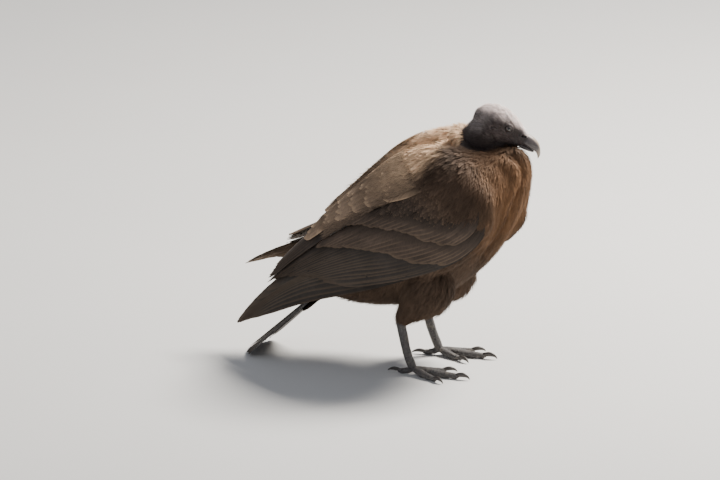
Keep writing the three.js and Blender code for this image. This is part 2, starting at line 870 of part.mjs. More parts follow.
const colours = {
  plumage: { color: 0x6b4f3a, roughness: 0.85, metalness: 0 },
  flight: { color: 0x3a302b, roughness: 0.7, metalness: 0 },
  skin: { color: 0x4a4240, roughness: 0.75, metalness: 0 },
  horn: { color: 0x8d8078, roughness: 0.4, metalness: 0 },
  eye: { color: 0x2a1a12, roughness: 0.1, metalness: 0 },
  scale: { color: 0x4d4a4a, roughness: 0.7, metalness: 0 },
  claw: { color: 0x26211f, roughness: 0.45, metalness: 0 },
};

const condor = new THREE.Group();

function add(name, geometry, finish) {
  const mesh = new THREE.Mesh(geometry, new THREE.MeshStandardMaterial(colours[finish]));
  mesh.name = name;
  condor.add(mesh);
}

const headBlank = headBody();
const neckBlank = neckBody();
const trunkBlank = trunkBody();
const trunkRoom = grown(trunkBlank);
const neckRoom = grown(neckBlank);
const headRoom = grown(headBlank);
const upperBlank = horn(upperHorn, 38, 94, 12, 14);
const wingLimbs = Object.values(SIDES).map((side) => fuse([arm(side), hand(side)], [trunkRoom]));
const shoulders = Object.values(SIDES).flatMap((side) =>
  [arm(side), hand(side), ...wingRow(side, WING_ROWS.at(-1))].map((piece) => grown(piece, 2 * GAP)),
);

add("torso", fuse([trunkBlank], [neckRoom, headRoom]), "plumage");
add("neck", fuse([neckBlank], [headRoom]), "skin");
add(
  "ruff",
  fuse(ruff(trunkBlank), [trunkRoom, neckRoom, headRoom, ...shoulders]),
  "plumage",
);
add(
  "head",
  fuse(
    [headBlank, lidRim(1), lidRim(-1)],
    [
      grown(eyeBall(1)),
      grown(eyeBall(-1)),
      mouthGroove(1),
      mouthGroove(-1),
      headBead(41, 0, 5, 5, 30, 2.6),
      headBead(-30, 33, -7, 6, 6, 4.5),
      headBead(-30, -33, -7, 6, 6, 4.5),
      headBlock(BILL_BASE, 1),
    ],
  ),
  "skin",
);
add("bill_upper", fuse([upperBlank], [headBlock(BILL_BASE + GAP, -1)]), "horn");
add(
  "bill_lower",
  fuse([horn(lowerHorn, 38, 78, 8, 12)], [headBlock(BILL_BASE + GAP, -1), grown(upperBlank)]),
  "horn",
);

Object.entries(SIDES).forEach(([name, side], at) => {
  add(`eye_${name}`, eyeBall(side), "eye");
  add(`wing_${name}`, fuse([wingLimbs[at], ...wingFeathers(side)]), "flight");
  const thighBlank = limb(thighCurve(side), thighSizes, 11, 14);
  add(`thigh_${name}`, fuse([thighBlank, ...trouserLocks(side)], [trunkRoom, wingRoom(side)]), "plumage");
  const claws = TOES.map((toe) => clawBody(toe, side));
  add(
    `leg_${name}`,
    fuse(
      [shankBody(side), ...TOES.map((toe) => toeBody(toe, side))],
      [floorBlock(), grown(thighBlank), ...claws.map((claw) => grown(claw))],
    ),
    "scale",
  );
  TOES.forEach((toe, i) => add(`claw_${toe.name}_${name}`, fuse([claws[i]], [floorBlock()]), "claw"));
});
add("tail", fuse(tail(), [floorBlock(), trunkRoom]), "flight");

// The frame's origin is the middle of the model's footprint, on the floor.
const bounds = new THREE.Box3().setFromObject(condor);
const middle = bounds.getCenter(new THREE.Vector3());
for (const mesh of condor.children) mesh.geometry.translate(-middle.x, -middle.y, 0);

export default condor;
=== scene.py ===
"""A life-size young Andean condor, standing with its neck drawn in and its wings folded.

Sizes in the shaping functions are millimetres in the body's own axes, as in the solids, and
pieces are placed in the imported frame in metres.
"""

import math

import bmesh
import bpy
import numpy as np
from bpy.props import FloatProperty, FloatVectorProperty, PointerProperty
from bpy.types import Operator, Panel, PropertyGroup
from mathutils import Matrix, Vector
from mathutils.bvhtree import BVHTree


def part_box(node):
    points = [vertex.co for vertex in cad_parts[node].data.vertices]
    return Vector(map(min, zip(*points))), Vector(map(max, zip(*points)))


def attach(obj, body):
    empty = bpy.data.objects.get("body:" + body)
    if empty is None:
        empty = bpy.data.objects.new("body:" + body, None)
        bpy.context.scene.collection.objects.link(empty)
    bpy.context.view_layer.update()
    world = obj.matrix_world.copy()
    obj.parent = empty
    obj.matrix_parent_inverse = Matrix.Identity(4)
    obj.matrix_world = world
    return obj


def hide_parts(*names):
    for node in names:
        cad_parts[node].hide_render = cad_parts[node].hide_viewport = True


bl_info = {
    "name": "Young Andean condor",
    "version": (1, 0, 0),
    "blender": (4, 5, 0),
    "location": "View3D > Sidebar > Condor",
    "description": "Builds the plumage, skin, bill, eyes and feet of a standing young condor",
    "category": "Object",
}

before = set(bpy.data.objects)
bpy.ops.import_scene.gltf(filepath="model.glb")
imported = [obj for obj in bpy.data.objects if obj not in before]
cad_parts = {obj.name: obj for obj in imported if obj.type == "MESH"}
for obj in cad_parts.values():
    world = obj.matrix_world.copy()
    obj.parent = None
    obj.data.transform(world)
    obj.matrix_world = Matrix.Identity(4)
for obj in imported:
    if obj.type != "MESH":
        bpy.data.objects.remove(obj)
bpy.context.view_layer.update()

# The body's slope, and the places of its parts.
BODY_PITCH = math.radians(44)
TRUNK_REAR = -60
TRUNK_FRONT = 490
TRUNK_MIDDLE = (TRUNK_FRONT + TRUNK_REAR) / 2
TRUNK_HALF = (TRUNK_FRONT - TRUNK_REAR) / 2
NECK_LINE = [(98, 0, 452), (107, 0, 508), (136, 3, 553)]
HEAD_AT = (166, 15, 545)
# How much lower the plumage lets the head sink than the bare solids do.
HEAD_SETTLE = np.array([0, 0, -6.5])
HEAD_YAW = math.radians(20)
HEAD_PITCH = math.radians(30)
HEAD_REAR = -70
HEAD_FRONT = 62
HEAD_MIDDLE = (HEAD_REAR + HEAD_FRONT) / 2
HEAD_HALF = (HEAD_FRONT - HEAD_REAR) / 2
BILL_BASE = 50
EYE = {"x": 2.0, "y": 24.5, "z": 6.0, "radius": 8.5}
COLLAR = {"at": (110, 0, 507), "radius": 52, "wide": 1.08}
FOOT_AT = (-8, 84)
HOCK = (-44, 78, 119)
TOES = [("inner", 72, 30, 8.5), ("middle", 106, -2, 9.5), ("outer", 78, -32, 8.5), ("hind", 38, 172, 7.5)]
CLAW_LENGTH = 24
SIDES = {"left": 1, "right": -1}
ARM_FRONT = 424
SHELL_DEPTH = 64
WING_ROUNDNESS = 0.86
# Rows of wing feathers: name, count, first and last root, first and last tip as (place, share), then
# height, half width, thickness, tilt and how deep the root is sunk.
WING_ROWS = [
    ("secondaries", 19, (352, 0.86), (122, 0.46), (8, 0.84), (-136, 0.36), -5, 15, 1.1, 2.6, 2),
    ("tertials", 5, (112, 0.34), (72, 0.08), (-128, 0.32), (-96, 0.1), -0.5, 19, 1.1, 2.4, 4),
    ("greater_coverts", 18, (378, 0.83), (168, 0.45), (226, 0.83), (26, 0.44), 2, 11, 0.9, 2.2, 1.2),
    ("median_coverts", 17, (388, 0.76), (205, 0.4), (292, 0.74), (122, 0.4), 7.4, 10.5, 0.9, 2.2, 1.5),
    ("scapulars_6", 5, (132, 0.25), (128, 0.06), (14, 0.25), (34, 0.06), 6.0, 20, 1.0, 2.2, 6),
    ("scapulars_5", 6, (168, 0.29), (164, 0.03), (72, 0.28), (80, 0.04), 7.4, 18, 1.0, 2.2, 6),
    ("scapulars_4", 6, (204, 0.32), (200, 0.05), (112, 0.3), (118, 0.05), 9.0, 17, 1.0, 2.2, 7),
    ("scapulars_3", 7, (242, 0.36), (238, 0.03), (150, 0.33), (154, 0.04), 10.6, 15.5, 1.0, 2.2, 7),
    ("scapulars_2", 8, (282, 0.4), (280, 0.05), (194, 0.36), (196, 0.05), 12, 14, 1.0, 2.2, 8),
    ("scapulars_1", 9, (324, 0.44), (320, 0.03), (238, 0.39), (240, 0.04), 13.4, 12.5, 0.9, 2.0, 8),
]
TAIL = dict(root=-5, tip=-296, root_up=272, tip_up=285.4, root_half=40, tip_half=88, droop=14)
# Rows of tail feathers: count, side, root, tip, how much shorter outside, spread, height, lean, half width.
TAIL_ROWS = [
    (12, 1, -12, -296, 20, 0.84, 0, 2.8, 19),
    (10, 1, -2, -118, 26, 0.8, 7.5, 2, 14),
    (10, -1, -2, -140, 30, 0.8, -7, 2, 14),
]
# Sections across a vane: the place from one edge to the other and the share of the thickness.
FLIGHT_SECTION = np.array([(-1, 0), (-0.5, 1), (0, 2), (0.5, 1), (1, 0), (0.5, -1), (0, -1), (-0.5, -1)])
BODY_SECTION = np.array([(-1, 0), (0, 1), (1, 0), (0, -1)])
WISP_SECTION = np.array([(-1, 0), (0, 1), (1, 0)])

FORWARD = np.array([math.cos(BODY_PITCH), 0, math.sin(BODY_PITCH)])
DORSAL = np.array([-math.sin(BODY_PITCH), 0, math.cos(BODY_PITCH)])
LEFT = np.array([0.0, 1, 0])


def through(rows):
    """A smooth function of one number through rows of (place, value, value, ...)."""
    table = np.array(sorted(rows), float)
    places, values = table[:, 0], table[:, 1:]
    last = len(places) - 1

    def at(x):
        x = np.clip(np.asarray(x, float), places[0], places[-1])
        after = np.clip(np.searchsorted(places, x, side="right"), 1, last)
        before = after - 1
        previous = np.where(before > 0, before - 1, after)
        following = np.where(after < last, after + 1, before)
        start, end = places[before], places[after]
        half = (end - start) / 2
        near = half / (start - places[previous])
        far = half / (places[following] - end)
        p = (x - start) / (end - start)
        weights = [
            -near * p**3 + 2 * near * p**2 - near * p,
            (1 + near) * p**3 + (-1.5 - 2 * near) * p**2 + (near - 0.5) * p + 1,
            (-1 - far) * p**3 + (1.5 + far) * p**2 + 0.5 * p,
            far * p**3 - far * p**2,
        ]
        columns = [previous, before, after, following]
        total = sum(w[..., None] * values[c] for w, c in zip(weights, columns))
        return np.moveaxis(total, -1, 0)

    return at


def unit(vectors):
    """The vectors at length one."""
    size = np.linalg.norm(vectors, axis=-1, keepdims=True)
    return vectors / np.maximum(size, 1e-9)


def smoothstep(x, low, high):
    """A smooth rise from 0 at low to 1 at high."""
    t = np.clip((x - low) / (high - low), 0, 1)
    return t * t * (3 - 2 * t)


def fall(x, low, high):
    """A smooth fall from 1 at low to 0 at high."""
    return 1 - smoothstep(x, low, high)


def lerp(a, b, t):
    """A straight mix of a and b."""
    return a + (b - a) * t


def mottle(points, size, seed):
    """A smooth irregular pattern between about -1 and 1, with patches about `size` across."""
    draw = np.random.default_rng(seed)
    total = 0.0
    for _ in range(7):
        way = unit(draw.normal(size=3)) * (2 * math.pi / size) * draw.uniform(0.6, 1.5)
        total = total + np.sin(points @ way + draw.uniform(0, 6.28))
    return total / 3


def cap(t, power):
    """How far a closed body's ring at t from one end (0) to the other (1) has opened."""
    return np.maximum(np.sin(t * math.pi), 0) ** power


def in_trunk(along, across, up):
    """Points by their place along the trunk, to its left and towards its back."""
    along, across, up = np.broadcast_arrays(along, across, up)
    return along[..., None] * FORWARD + across[..., None] * LEFT + up[..., None] * DORSAL


def smooth_line(points, steps=60):
    """A function that gives places and directions at shares of the length of a line through the points."""
    given = np.array(points, float)
    given = np.vstack([2 * given[0] - given[1], given, 2 * given[-1] - given[-2]])
    t = np.linspace(0, 1, steps, endpoint=False)[:, None]
    parts = []
    for a, b, c, d in zip(given, given[1:], given[2:], given[3:]):
        ab, bc, cd = (math.sqrt(np.linalg.norm(q - p)) for p, q in ((a, b), (b, c), (c, d)))
        leave = ((b - a) / ab - (c - a) / (ab + bc) + (c - b) / bc) * bc
        arrive = ((c - b) / bc - (d - b) / (bc + cd) + (d - c) / cd) * bc
        square = 3 * (c - b) - 2 * leave - arrive
        cube = 2 * (b - c) + leave + arrive
        parts.append(b + leave * t + square * t**2 + cube * t**3)
    line = np.vstack(parts + [given[-2][None]])
    steps_long = np.linalg.norm(np.diff(line, axis=0), axis=1)
    shares = np.concatenate([[0], np.cumsum(steps_long)])
    shares /= shares[-1]

    def at(share):
        def place(s):
            return np.stack([np.interp(s, shares, line[:, k]) for k in range(3)], -1)

        ahead = place(np.minimum(share + 0.01, 1))
        behind = place(np.maximum(share - 0.01, 0))
        return place(share), unit(ahead - behind)

    return at


def head_matrix():
    """Turns points from the head's own axes into the body's."""
    turned = Matrix.Translation(Vector(HEAD_AT) + Vector(HEAD_SETTLE)) @ Matrix.Rotation(HEAD_YAW, 4, "Z")
    return np.array(turned @ Matrix.Rotation(HEAD_PITCH, 4, "Y"))


HEAD = head_matrix()
HEAD_BACK = np.linalg.inv(HEAD)


def from_head(points):
    """Points in the head's axes, ahead of the eyes, to its left and up, placed in the body's."""
    return np.asarray(points) @ HEAD[:3, :3].T + HEAD[:3, 3]


def to_head(points):
    """Points in the head's own axes."""
    return np.asarray(points) @ HEAD_BACK[:3, :3].T + HEAD_BACK[:3, 3]


def frame_offset():
    """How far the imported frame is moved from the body's own axes, in millimetres."""
    low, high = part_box("eye_right")
    eye = from_head([EYE["x"], -EYE["y"], EYE["z"]]) - HEAD_SETTLE
    return np.array((low + high) / 2) * 1000 - eye


OFFSET = frame_offset()


def to_frame(points):
    """Millimetres in the body's axes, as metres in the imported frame."""
    return (np.asarray(points) + OFFSET) * 0.001


def from_frame(points):
    """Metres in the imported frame, as millimetres in the body's axes."""
    return np.asarray(points) * 1000 - OFFSET


trunk_shape = through([
    (-60, 272, 62, 84, 100), (26, 238, 123, 104, 110), (117, 212, 154, 122, 116),
    (213, 204, 163, 125, 118), (290, 201, 166, 122, 121), (354, 200, 160, 113, 124),
    (420, 200, 134, 103, 126), (490, 206, 80, 90, 130),
])
neck_line = smooth_line(NECK_LINE)
neck_sizes = through([(0, 44, 42), (0.5, 37, 37), (1, 30, 33)])
nape_sizes = through([(0, 31, 33), (0.4, 33, 34), (1, 36, 36)])
throat_sizes = through([(0, 21, 16), (0.5, 25, 22), (1, 34, 26)])
head_shape = through([
    (-70, 30, 32, 40), (-45, 33, 38, 43), (-20, 34, 38, 43), (5, 30, 33, 40), (25, 23, 25, 33),
    (40, 17.5, 18, 26), (52, 15, 12.5, 21), (70, 12, 9.5, 18),
])
upper_horn = through([
    (38, 16, 16, -13), (50, 14.5, 13, -13.5), (60, 13.5, 11.5, -13), (70, 12, 9, -13),
    (80, 9.5, 4.5, -14), (87, 7, -2, -18), (94, 4, -11, -27),
])
lower_horn = through([(38, 12, -14, -24), (60, 11, -14, -22), (78, 8, -15, -19.5)])
# The folded wing's shell round the trunk: place, centre, half depth, half width.
wrap_shape = through([
    (-290, 326, 44, 54), (-160, 306, 80, 80), (-80, 288, 104, 97), (0, 264, 130, 115),
    (70, 244, 150, 130), (140, 230, 162, 140), (213, 221, 168, 144), (290, 219, 164, 146),
    (354, 218, 152, 144), (430, 216, 116, 128),
])
wing_edges = through([
    (-290, 30, 58), (-160, 20, 84), (-40, 11, 100), (80, 9, 112), (200, 9, 128), (300, 11, 141),
    (370, 17, 138), (420, 34, 112),
])
root_line = through([(0, 60), (0.38, 110), (0.86, 350), (1, 350)])
arm_rear = through([(-34, -30), (0, -7), (30, 0), (60, 4.5)])
arm_front = through([(0, 4.5), (0.4, 4), (0.75, 1.5), (0.9, -5), (1, -22)])
thigh_sizes = through([(0, 50, 66), (0.4, 44, 56), (0.75, 25, 30), (1, 15, 17)])
shank_sizes = through([(0, 12, 13), (0.25, 9.5, 11), (0.7, 9, 10), (1, 12, 13)])
feather_width = through([
    (0, 0.34), (0.12, 0.62), (0.4, 0.95), (0.78, 1), (0.91, 0.9), (0.97, 0.64), (1, 0.2),
])
blade_width = through([(0, 0.55), (0.3, 1), (0.62, 0.95), (0.86, 0.6), (1, 0.08)])
wisp_width = through([(0, 0.9), (0.5, 0.8), (1, 0.05)])
primary_tips = through([
    (0, -150, 0.48), (1.8, -212, 0.46), (3.6, -252, 0.48), (5.4, -266, 0.58), (7.2, -258, 0.76),
    (9, -232, 0.98),
])
far_primary_tips = through([
    (0, -150, 0.34), (1.8, -206, 0.28), (3.6, -246, 0.24), (5.4, -262, 0.34), (7.2, -206, 0.5),
    (9, -150, 0.8),
])


def trunk_at(t, angle, inset=0.0):
    """The trunk's surface, t from its rear end (0) to its front (1), angle from the back."""
    share = -np.cos(t * math.pi)
    along = TRUNK_MIDDLE + (TRUNK_HALF - inset) * share
    narrowing = np.maximum(1 - share**2, 0) ** 0.4
    centre, back, belly, width = trunk_shape(along)
    upward = np.cos(angle)
    depth = np.where(upward > 0, back, belly) - inset
    return in_trunk(along, np.sin(angle) * (width - inset) * narrowing, centre + upward * depth * narrowing)


def round_line(line, share, angle, width, depth):
    """Points round a line at shares of its length."""
    place, way = line(share)
    side = unit(LEFT - (way @ LEFT)[..., None] * way)
    over = np.cross(way, side)
    return place + side * (np.sin(angle) * width)[..., None] + over * (np.cos(angle) * depth)[..., None]


def limb_at(line, sizes, inset=0.0):
    """A function for a tube with round ends along a line."""

    def at(t, angle):
        share = (1 - np.cos(t * math.pi)) / 2
        width, depth = (size * cap(t, 0.35) for size in sizes(share) - inset)
        return round_line(line, share, angle, width, depth)

    return at


def thigh_line(side):
    """The line of one thigh, from the hip to the hock."""
    hock = (HOCK[0], side * HOCK[1], HOCK[2] - 8)
    return smooth_line([(12, side * 58, 232), (22, side * 72, 190), (-14, side * 78, 146), hock])


def shank_line(side):
    """The line of one shank, from the hock to the foot."""
    x, y, z = HOCK
    foot, out = FOOT_AT[0], side * FOOT_AT[1]
    upper = [(x + 2, side * y, z + 2), (x + 10, side * (y + 1), z - 30)]
    return smooth_line([*upper, (foot - 12, out, 40), (foot, out, 13)])


def toe_point(toe, side, distance, z):
    """A place on a toe's line, `distance` out from the foot's middle."""
    turn = -side * math.radians(toe[2])
    return (FOOT_AT[0] + math.cos(turn) * distance, side * FOOT_AT[1] + math.sin(turn) * distance, z)


def toe_line(toe, side):
    """The line of one toe."""
    _, length, _, radius = toe
    half = toe_point(toe, side, length / 2, 0.92 * radius - 0.8)
    return smooth_line([toe_point(toe, side, 0, 13), half, toe_point(toe, side, length, 0.74 * radius - 0.8)])


def head_at(t, angle):
    """The head's surface in its own axes, before its folds."""
    along = HEAD_MIDDLE - HEAD_HALF * np.cos(t * math.pi)
    opened = cap(t, np.where(t < 0.5, 0.75, 0.3))
    width, top, bottom = head_shape(along)
    upward = np.cos(angle)
    height = np.where(upward > 0, top, bottom)
    return np.stack([along, np.sin(angle) * width * opened, upward * height * opened], -1)


def head_reach(head):
    """How far points are from the head's middle line, with 1 on its surface."""
    width, top, bottom = head_shape(head[:, 0])
    return np.hypot(head[:, 1] / width, head[:, 2] / np.where(head[:, 2] > 0, top, bottom))


def collar_axes():
    """The collar's own axes: up the neck and ahead across it."""
    up = unit(np.array(NECK_LINE[2], float) - np.array(NECK_LINE[0], float))
    return up, unit(np.cross(LEFT, up))


def wing_at(place, share, across, height, side):
    """A point of the folded wing. `share` runs from its upper edge (0) to its lower edge (1)."""
    behind = np.maximum(0, -place)
    upper = fall(share, 0.3, 0.75)
    shoulder = smoothstep(place, -120, 60) * fall(place, 240, 380)
    raised = 0.31 * behind + 8 * shoulder * upper if side > 0 else 0
    along = place + 0.29 * behind if side > 0 else place
    centre, depth, width = wrap_shape(place)
    first, last = np.radians(wing_edges(place))
    turn = lerp(first, last, share) + 2 * across / (depth + width)
    sine, cosine = np.sin(turn), np.cos(turn)
    out = side * np.sign(sine) * np.abs(sine) ** WING_ROUNDNESS * (width + height)
    up = centre + raised + np.sign(cosine) * np.abs(cosine) ** WING_ROUNDNESS * (depth + height)
    return in_trunk(along, out, up)


def wing_place(points):
    """Place, share and height above the shell of points by the wing, for the nearer side."""
    along, up = points @ FORWARD, points @ DORSAL
    centre, depth, width = wrap_shape(along)
    out = np.abs(points[..., 1])
    low, high = np.full(along.shape, -43.0), np.full(along.shape, 90.0)
    for _ in range(22):
        height = (low + high) / 2
        wide, deep = out / (width + height), np.abs(up - centre) / (depth + height)
        outside = wide ** (2 / WING_ROUNDNESS) + deep ** (2 / WING_ROUNDNESS) > 1
        low, high = np.where(outside, height, low), np.where(outside, high, height)
    sine = (out / (width + height)) ** (1 / WING_ROUNDNESS)
    cosine = np.sign(up - centre) * (np.abs(up - centre) / (depth + height)) ** (1 / WING_ROUNDNESS)
    first, last = np.radians(wing_edges(along))
    share = (np.arctan2(sine, cosine) - first) / (last - first)
    return along, share, height


def tail_at(place, sideways, height):
    """A point of the tail, which slopes down to the floor."""
    t = (TAIL["root"] - place) / (TAIL["root"] - TAIL["tip"])
    up = lerp(TAIL["root_up"], TAIL["tip_up"], t)
    return in_trunk(place, sideways, up + height - TAIL["droop"] * (sideways / TAIL["tip_half"]) ** 2)


# Colours of the plumage and skin from place to place.


def plumage():
    """The settings of the plumage."""
    return bpy.context.scene.condor_plumage


def everywhere(values, points):
    """One colour for each of the points."""
    return np.broadcast_to(rgb(values), points.shape)


def rgb(values):
    """A colour property as an array."""
    return np.array(values[:3], float)


def blend_colours(base, other, amount):
    """Rows of colours moved towards another colour."""
    return base + (np.asarray(other) - base) * np.clip(amount, 0, 1)[..., None]


def streaks(points, seed):
    """Soft streaks that run along the lie of the plumage, between about -1 and 1."""
    down = unit(np.array([-0.45, 0, -0.9]))
    along = (points @ down)[..., None] * down
    return mottle(points - 0.84 * along, 9, seed)


def body_colour(points):
    """The colour of the body's plumage at points in the body's axes."""
    look = plumage()
    along, up = points @ FORWARD, points @ DORSAL
    x, y, z = np.moveaxis(points, -1, 0)
    # The top of the back takes the mantle's golden colour, partly its own and partly painted sunlight; its
    # lower line is raised towards the sides, where the light ends.
    edge = 12 * smoothstep(np.abs(y), 20, 75)
    backward = smoothstep(up, 286 + edge, 322 + edge)
    colour = everywhere(look.breast, points)
    # The front of the breast takes the crop's warm colour, partly its own warm brown and partly painted
    # sunlight on the front.
    front = smoothstep(x + 0.1 * z, 138, 232) * fall(np.abs(y), 72, 150) * (1 - backward)
    colour = blend_colours(colour, rgb(look.crop), 0.9 * front)
    colour = blend_colours(colour, rgb(look.belly), 0.8 * fall(along, 40, 230) * (1 - backward))
    colour = blend_colours(colour, mantle_at(along), backward * smoothstep(along, 60, 220))
    rump = backward * fall(along, 40, 200)
    colour = blend_colours(colour, rgb(look.coverts), 0.8 * rump)
    # Painted shade under the head: the plumage just below the jaw is darkened.
    throat = smoothstep(z, 470, 515) * smoothstep(x, 105, 150)
    colour = blend_colours(colour, rgb(look.breast) * 0.55, 0.8 * throat)
    colour = blend_colours(colour, rgb(look.flight), far_hand(points).astype(float))
    light = 1 + 0.13 * mottle(points, 80, 3) + 0.09 * mottle(points, 26, 4) + 0.13 * streaks(points, 6)
    return colour * light[..., None]


def mantle_at(along):
    """The mantle's colour, golden at the shoulders, partly painted sunlight, and greyer down the back."""
    look = plumage()
    low = np.broadcast_to(rgb(look.mantle_low), along.shape + (3,))
    return blend_colours(low, rgb(look.mantle), smoothstep(along, 170, 370))


def far_hand(points):
    """Where the bend of the far wing shows below the breast."""
    place, share, height = wing_place(points)
    along_hand = (place > 215) & (place < 392)
    return (points[..., 1] > 66) & (share > 0.72) & (share < 1.26) & along_hand & (height > -13)


def wing_colour(points, share, amount_brown):
    """The colour of the wing's smaller feathers: brown near the back, darker below."""
    look = plumage()
    colour = everywhere(look.coverts, points)
    # Near the back the coverts turn to the mantle's golden colour, which is partly painted sunlight.
    golden = amount_brown * fall(share, 0.26, 0.42)
    colour = blend_colours(colour, mantle_at(points @ FORWARD), golden)
    light = 1 + 0.14 * mottle(points, 60, 8) + 0.08 * mottle(points, 20, 9)
    return colour * light[..., None]


def head_colour(head):
    """The colour of the head's skin and down at points in the head's axes."""
    look = bpy.context.scene.condor_head
    width, top, bottom = head_shape(head[..., 0])
    x, y = head[..., 0], head[..., 1]
    fine = mottle(head * [0.16, 1, 1], 3.2, 16)
    # The crown's colour covers the top of the head, reaching further down at its rear: partly the down's own
    # pale grey, partly painted highlight from the light above and behind.
    edge = lerp(0.36, 0.64, smoothstep(x, -40, 30)) + 0.06 * mottle(head, 18, 13) + 0.07 * fine
    crown = smoothstep(head[..., 2] / top, edge - 0.34, edge + 0.36) ** 1.5
    colour = everywhere(look.skin, head)
    cheek = gauss(x + 20, 22) * smoothstep(-head[..., 2] / bottom, -0.4, 0.3)
    colour = blend_colours(colour, rgb(look.cheek), (0.5 + 0.4 * fine) * cheek)
    lores = smoothstep(x, 14, 40)
    colour = blend_colours(colour, rgb(look.cere), 0.8 * lores)
    back = smoothstep(-x + 0.25 * head[..., 2], 26, 52)
    colour = blend_colours(colour, rgb(look.occiput), (0.75 + 0.2 * fine) * back)
    colour = blend_colours(colour, rgb(look.crown), crown)
    # Painted highlight: the topmost part of the head is made lighter.
    top_highlight = 0.16 * smoothstep(head[..., 2] / top, 0.78, 1)
    colour = colour * (1 + top_highlight[..., None])
    # Painted highlight: a pale line along the top of the head ahead of the eyes, up to the bill.
    ridge = smoothstep(x, 20, 50) * fall(np.abs(y), 5, 10) * smoothstep(head[..., 2], 0, 6)
    colour = blend_colours(colour, rgb(look.crown), 0.8 * ridge)
    # Painted shade: the underside of the head is darkened.
    throat = smoothstep(-head[..., 2] / bottom, 0.5, 0.95)
    colour = blend_colours(colour, rgb(look.skin) * 0.6, 0.75 * throat)
    light = 1 + 0.1 * mottle(head, 22, 14) + 0.12 * mottle(head, 6, 15) + 0.12 * fine
    return colour * light[..., None]


# Meshes.


def ringed(mesh, at, rings, sides):
    """Adds a closed body whose rings are placed by at(t, angle) to a bmesh."""
    made = bmesh.ops.create_uvsphere(mesh, u_segments=sides, v_segments=rings, radius=1.0)["verts"]
    sphere = np.array([vert.co for vert in made])
    t = np.arccos(np.clip(sphere[:, 2], -1, 1)) / math.pi
    angle = np.arctan2(sphere[:, 0], sphere[:, 1])
    for vert, place in zip(made, at(t, angle)):
        vert.co = place
    return made


def slab(mesh, at, rows, columns):
    """Adds a closed plate to a bmesh, whose points are placed by at(u, v, outside)."""
    made = bmesh.ops.create_grid(mesh, x_segments=rows, y_segments=columns, size=0.5)["verts"]
    faces = list({face for vert in made for face in vert.link_faces})
    raised = bmesh.ops.extrude_face_region(mesh, geom=faces)["geom"]
    tops = {item for item in raised if isinstance(item, bmesh.types.BMVert)}
    verts = [*made, *tops]
    flat = np.array([vert.co for vert in verts])
    outside = np.array([vert in tops for vert in verts])
    for vert, place in zip(verts, at(flat[:, 0] + 0.5, flat[:, 1] + 0.5, outside)):
        vert.co = place


def ring_tube(mesh, segments, radius, reach, steps):
    """Adds a closed ring of round section about the Z axis to a bmesh and gives its vertices."""
    before = set(mesh.verts)
    profile = bmesh.ops.create_circle(mesh, segments=segments, radius=radius)["verts"]
    bmesh.ops.rotate(mesh, verts=profile, matrix=Matrix.Rotation(math.pi / 2, 3, "X"))
    bmesh.ops.translate(mesh, verts=profile, vec=(reach, 0, 0))
    geom = [*profile, *{edge for vert in profile for edge in vert.link_edges}]
    bmesh.ops.spin(mesh, geom=geom, axis=(0, 0, 1), angle=2 * math.pi, steps=steps, use_merge=True)
    return [vert for vert in mesh.verts if vert not in before]


def soften(mesh, verts, rounds):
    """Smooths some of a bmesh's vertices."""
    axes = dict(use_axis_x=True, use_axis_y=True, use_axis_z=True)
    for _ in range(rounds):
        bmesh.ops.smooth_vert(mesh, verts=verts, factor=0.5, **axes)


def mesh_points(mesh, key="co"):
    """The vertices of a mesh, or their normals, as an array."""
    points = np.zeros(len(mesh.vertices) * 3)
    mesh.vertices.foreach_get(key, points)
    return points.reshape(-1, 3)


def set_points(mesh, points):
    """Moves the vertices of a mesh."""
    mesh.vertices.foreach_set("co", points.astype(np.float32).ravel())
    mesh.update()


def set_tint(mesh, colours):
    """Writes one colour for each vertex."""
    rows = np.ones((len(mesh.vertices), 4), np.float32)
    rows[:, :3] = np.clip(colours, 0.002, 0.95)
    mesh.color_attributes.new("Tint", "FLOAT_COLOR", "POINT").data.foreach_set("color", rows.ravel())


def set_values(mesh, key, values):
    """Writes one number for each vertex."""
    mesh.attributes.new(key, "FLOAT", "POINT").data.foreach_set("value", np.asarray(values, np.float32))


def bmesh_of(data, in_body=True):
    """A bmesh of a mesh, in the body's axes or as it is."""
    mesh = bmesh.new()
    mesh.from_mesh(data)
    if in_body:
        for vert in mesh.verts:
            vert.co = Vector(from_frame(vert.co))
    return mesh


def vert_points(mesh):
    """The vertices of a bmesh as an array."""
    return np.array([vert.co for vert in mesh.verts])


def shape_from(mesh, name):
    """A Blender mesh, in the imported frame, from a bmesh in the body's axes."""
    for vert in mesh.verts:
        vert.co = Vector(to_frame(vert.co))
    bmesh.ops.recalc_face_normals(mesh, faces=mesh.faces)
    for face in mesh.faces:
        face.smooth = True
    data = bpy.data.meshes.new(name)
    mesh.to_mesh(data)
    mesh.free()
    return data


def remeshed(data, size):
    """The outer surface of overlapping closed bodies as one even mesh."""
    carrier = linked("remesh", data)
    step = carrier.modifiers.new("Remesh", "REMESH")
    step.mode = "VOXEL"
    step.voxel_size = size
    step.use_smooth_shade = True
    graph = bpy.context.evaluated_depsgraph_get()
    result = bpy.data.meshes.new_from_object(carrier.evaluated_get(graph))
    bpy.data.objects.remove(carrier)
    return result


def largest_part(mesh):
    """Removes from a bmesh all but its largest connected part."""
    seen, parts = set(), []
    for start in mesh.verts:
        if start in seen:
            continue
        part, queue = [], [start]
        seen.add(start)
        while queue:
            vert = queue.pop()
            part.append(vert)
            for edge in vert.link_edges:
                other = edge.other_vert(vert)
                if other not in seen:
                    seen.add(other)
                    queue.append(other)
        parts.append(part)
    parts.sort(key=len)
    for part in parts[:-1]:
        bmesh.ops.delete(mesh, geom=part, context="VERTS")


def linked(name, data):
    """A new object in the scene."""
    made = bpy.data.objects.new(name, data)
    bpy.context.scene.collection.objects.link(made)
    return made


def piece(name, data, finish, nodes=()):
    """A finished object: it has its material, rides on the body and stands for its nodes."""
    data.materials.append(finish)
    made = linked(name, data)
    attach(made, "root")
    if nodes:
        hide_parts(*nodes)
    return made


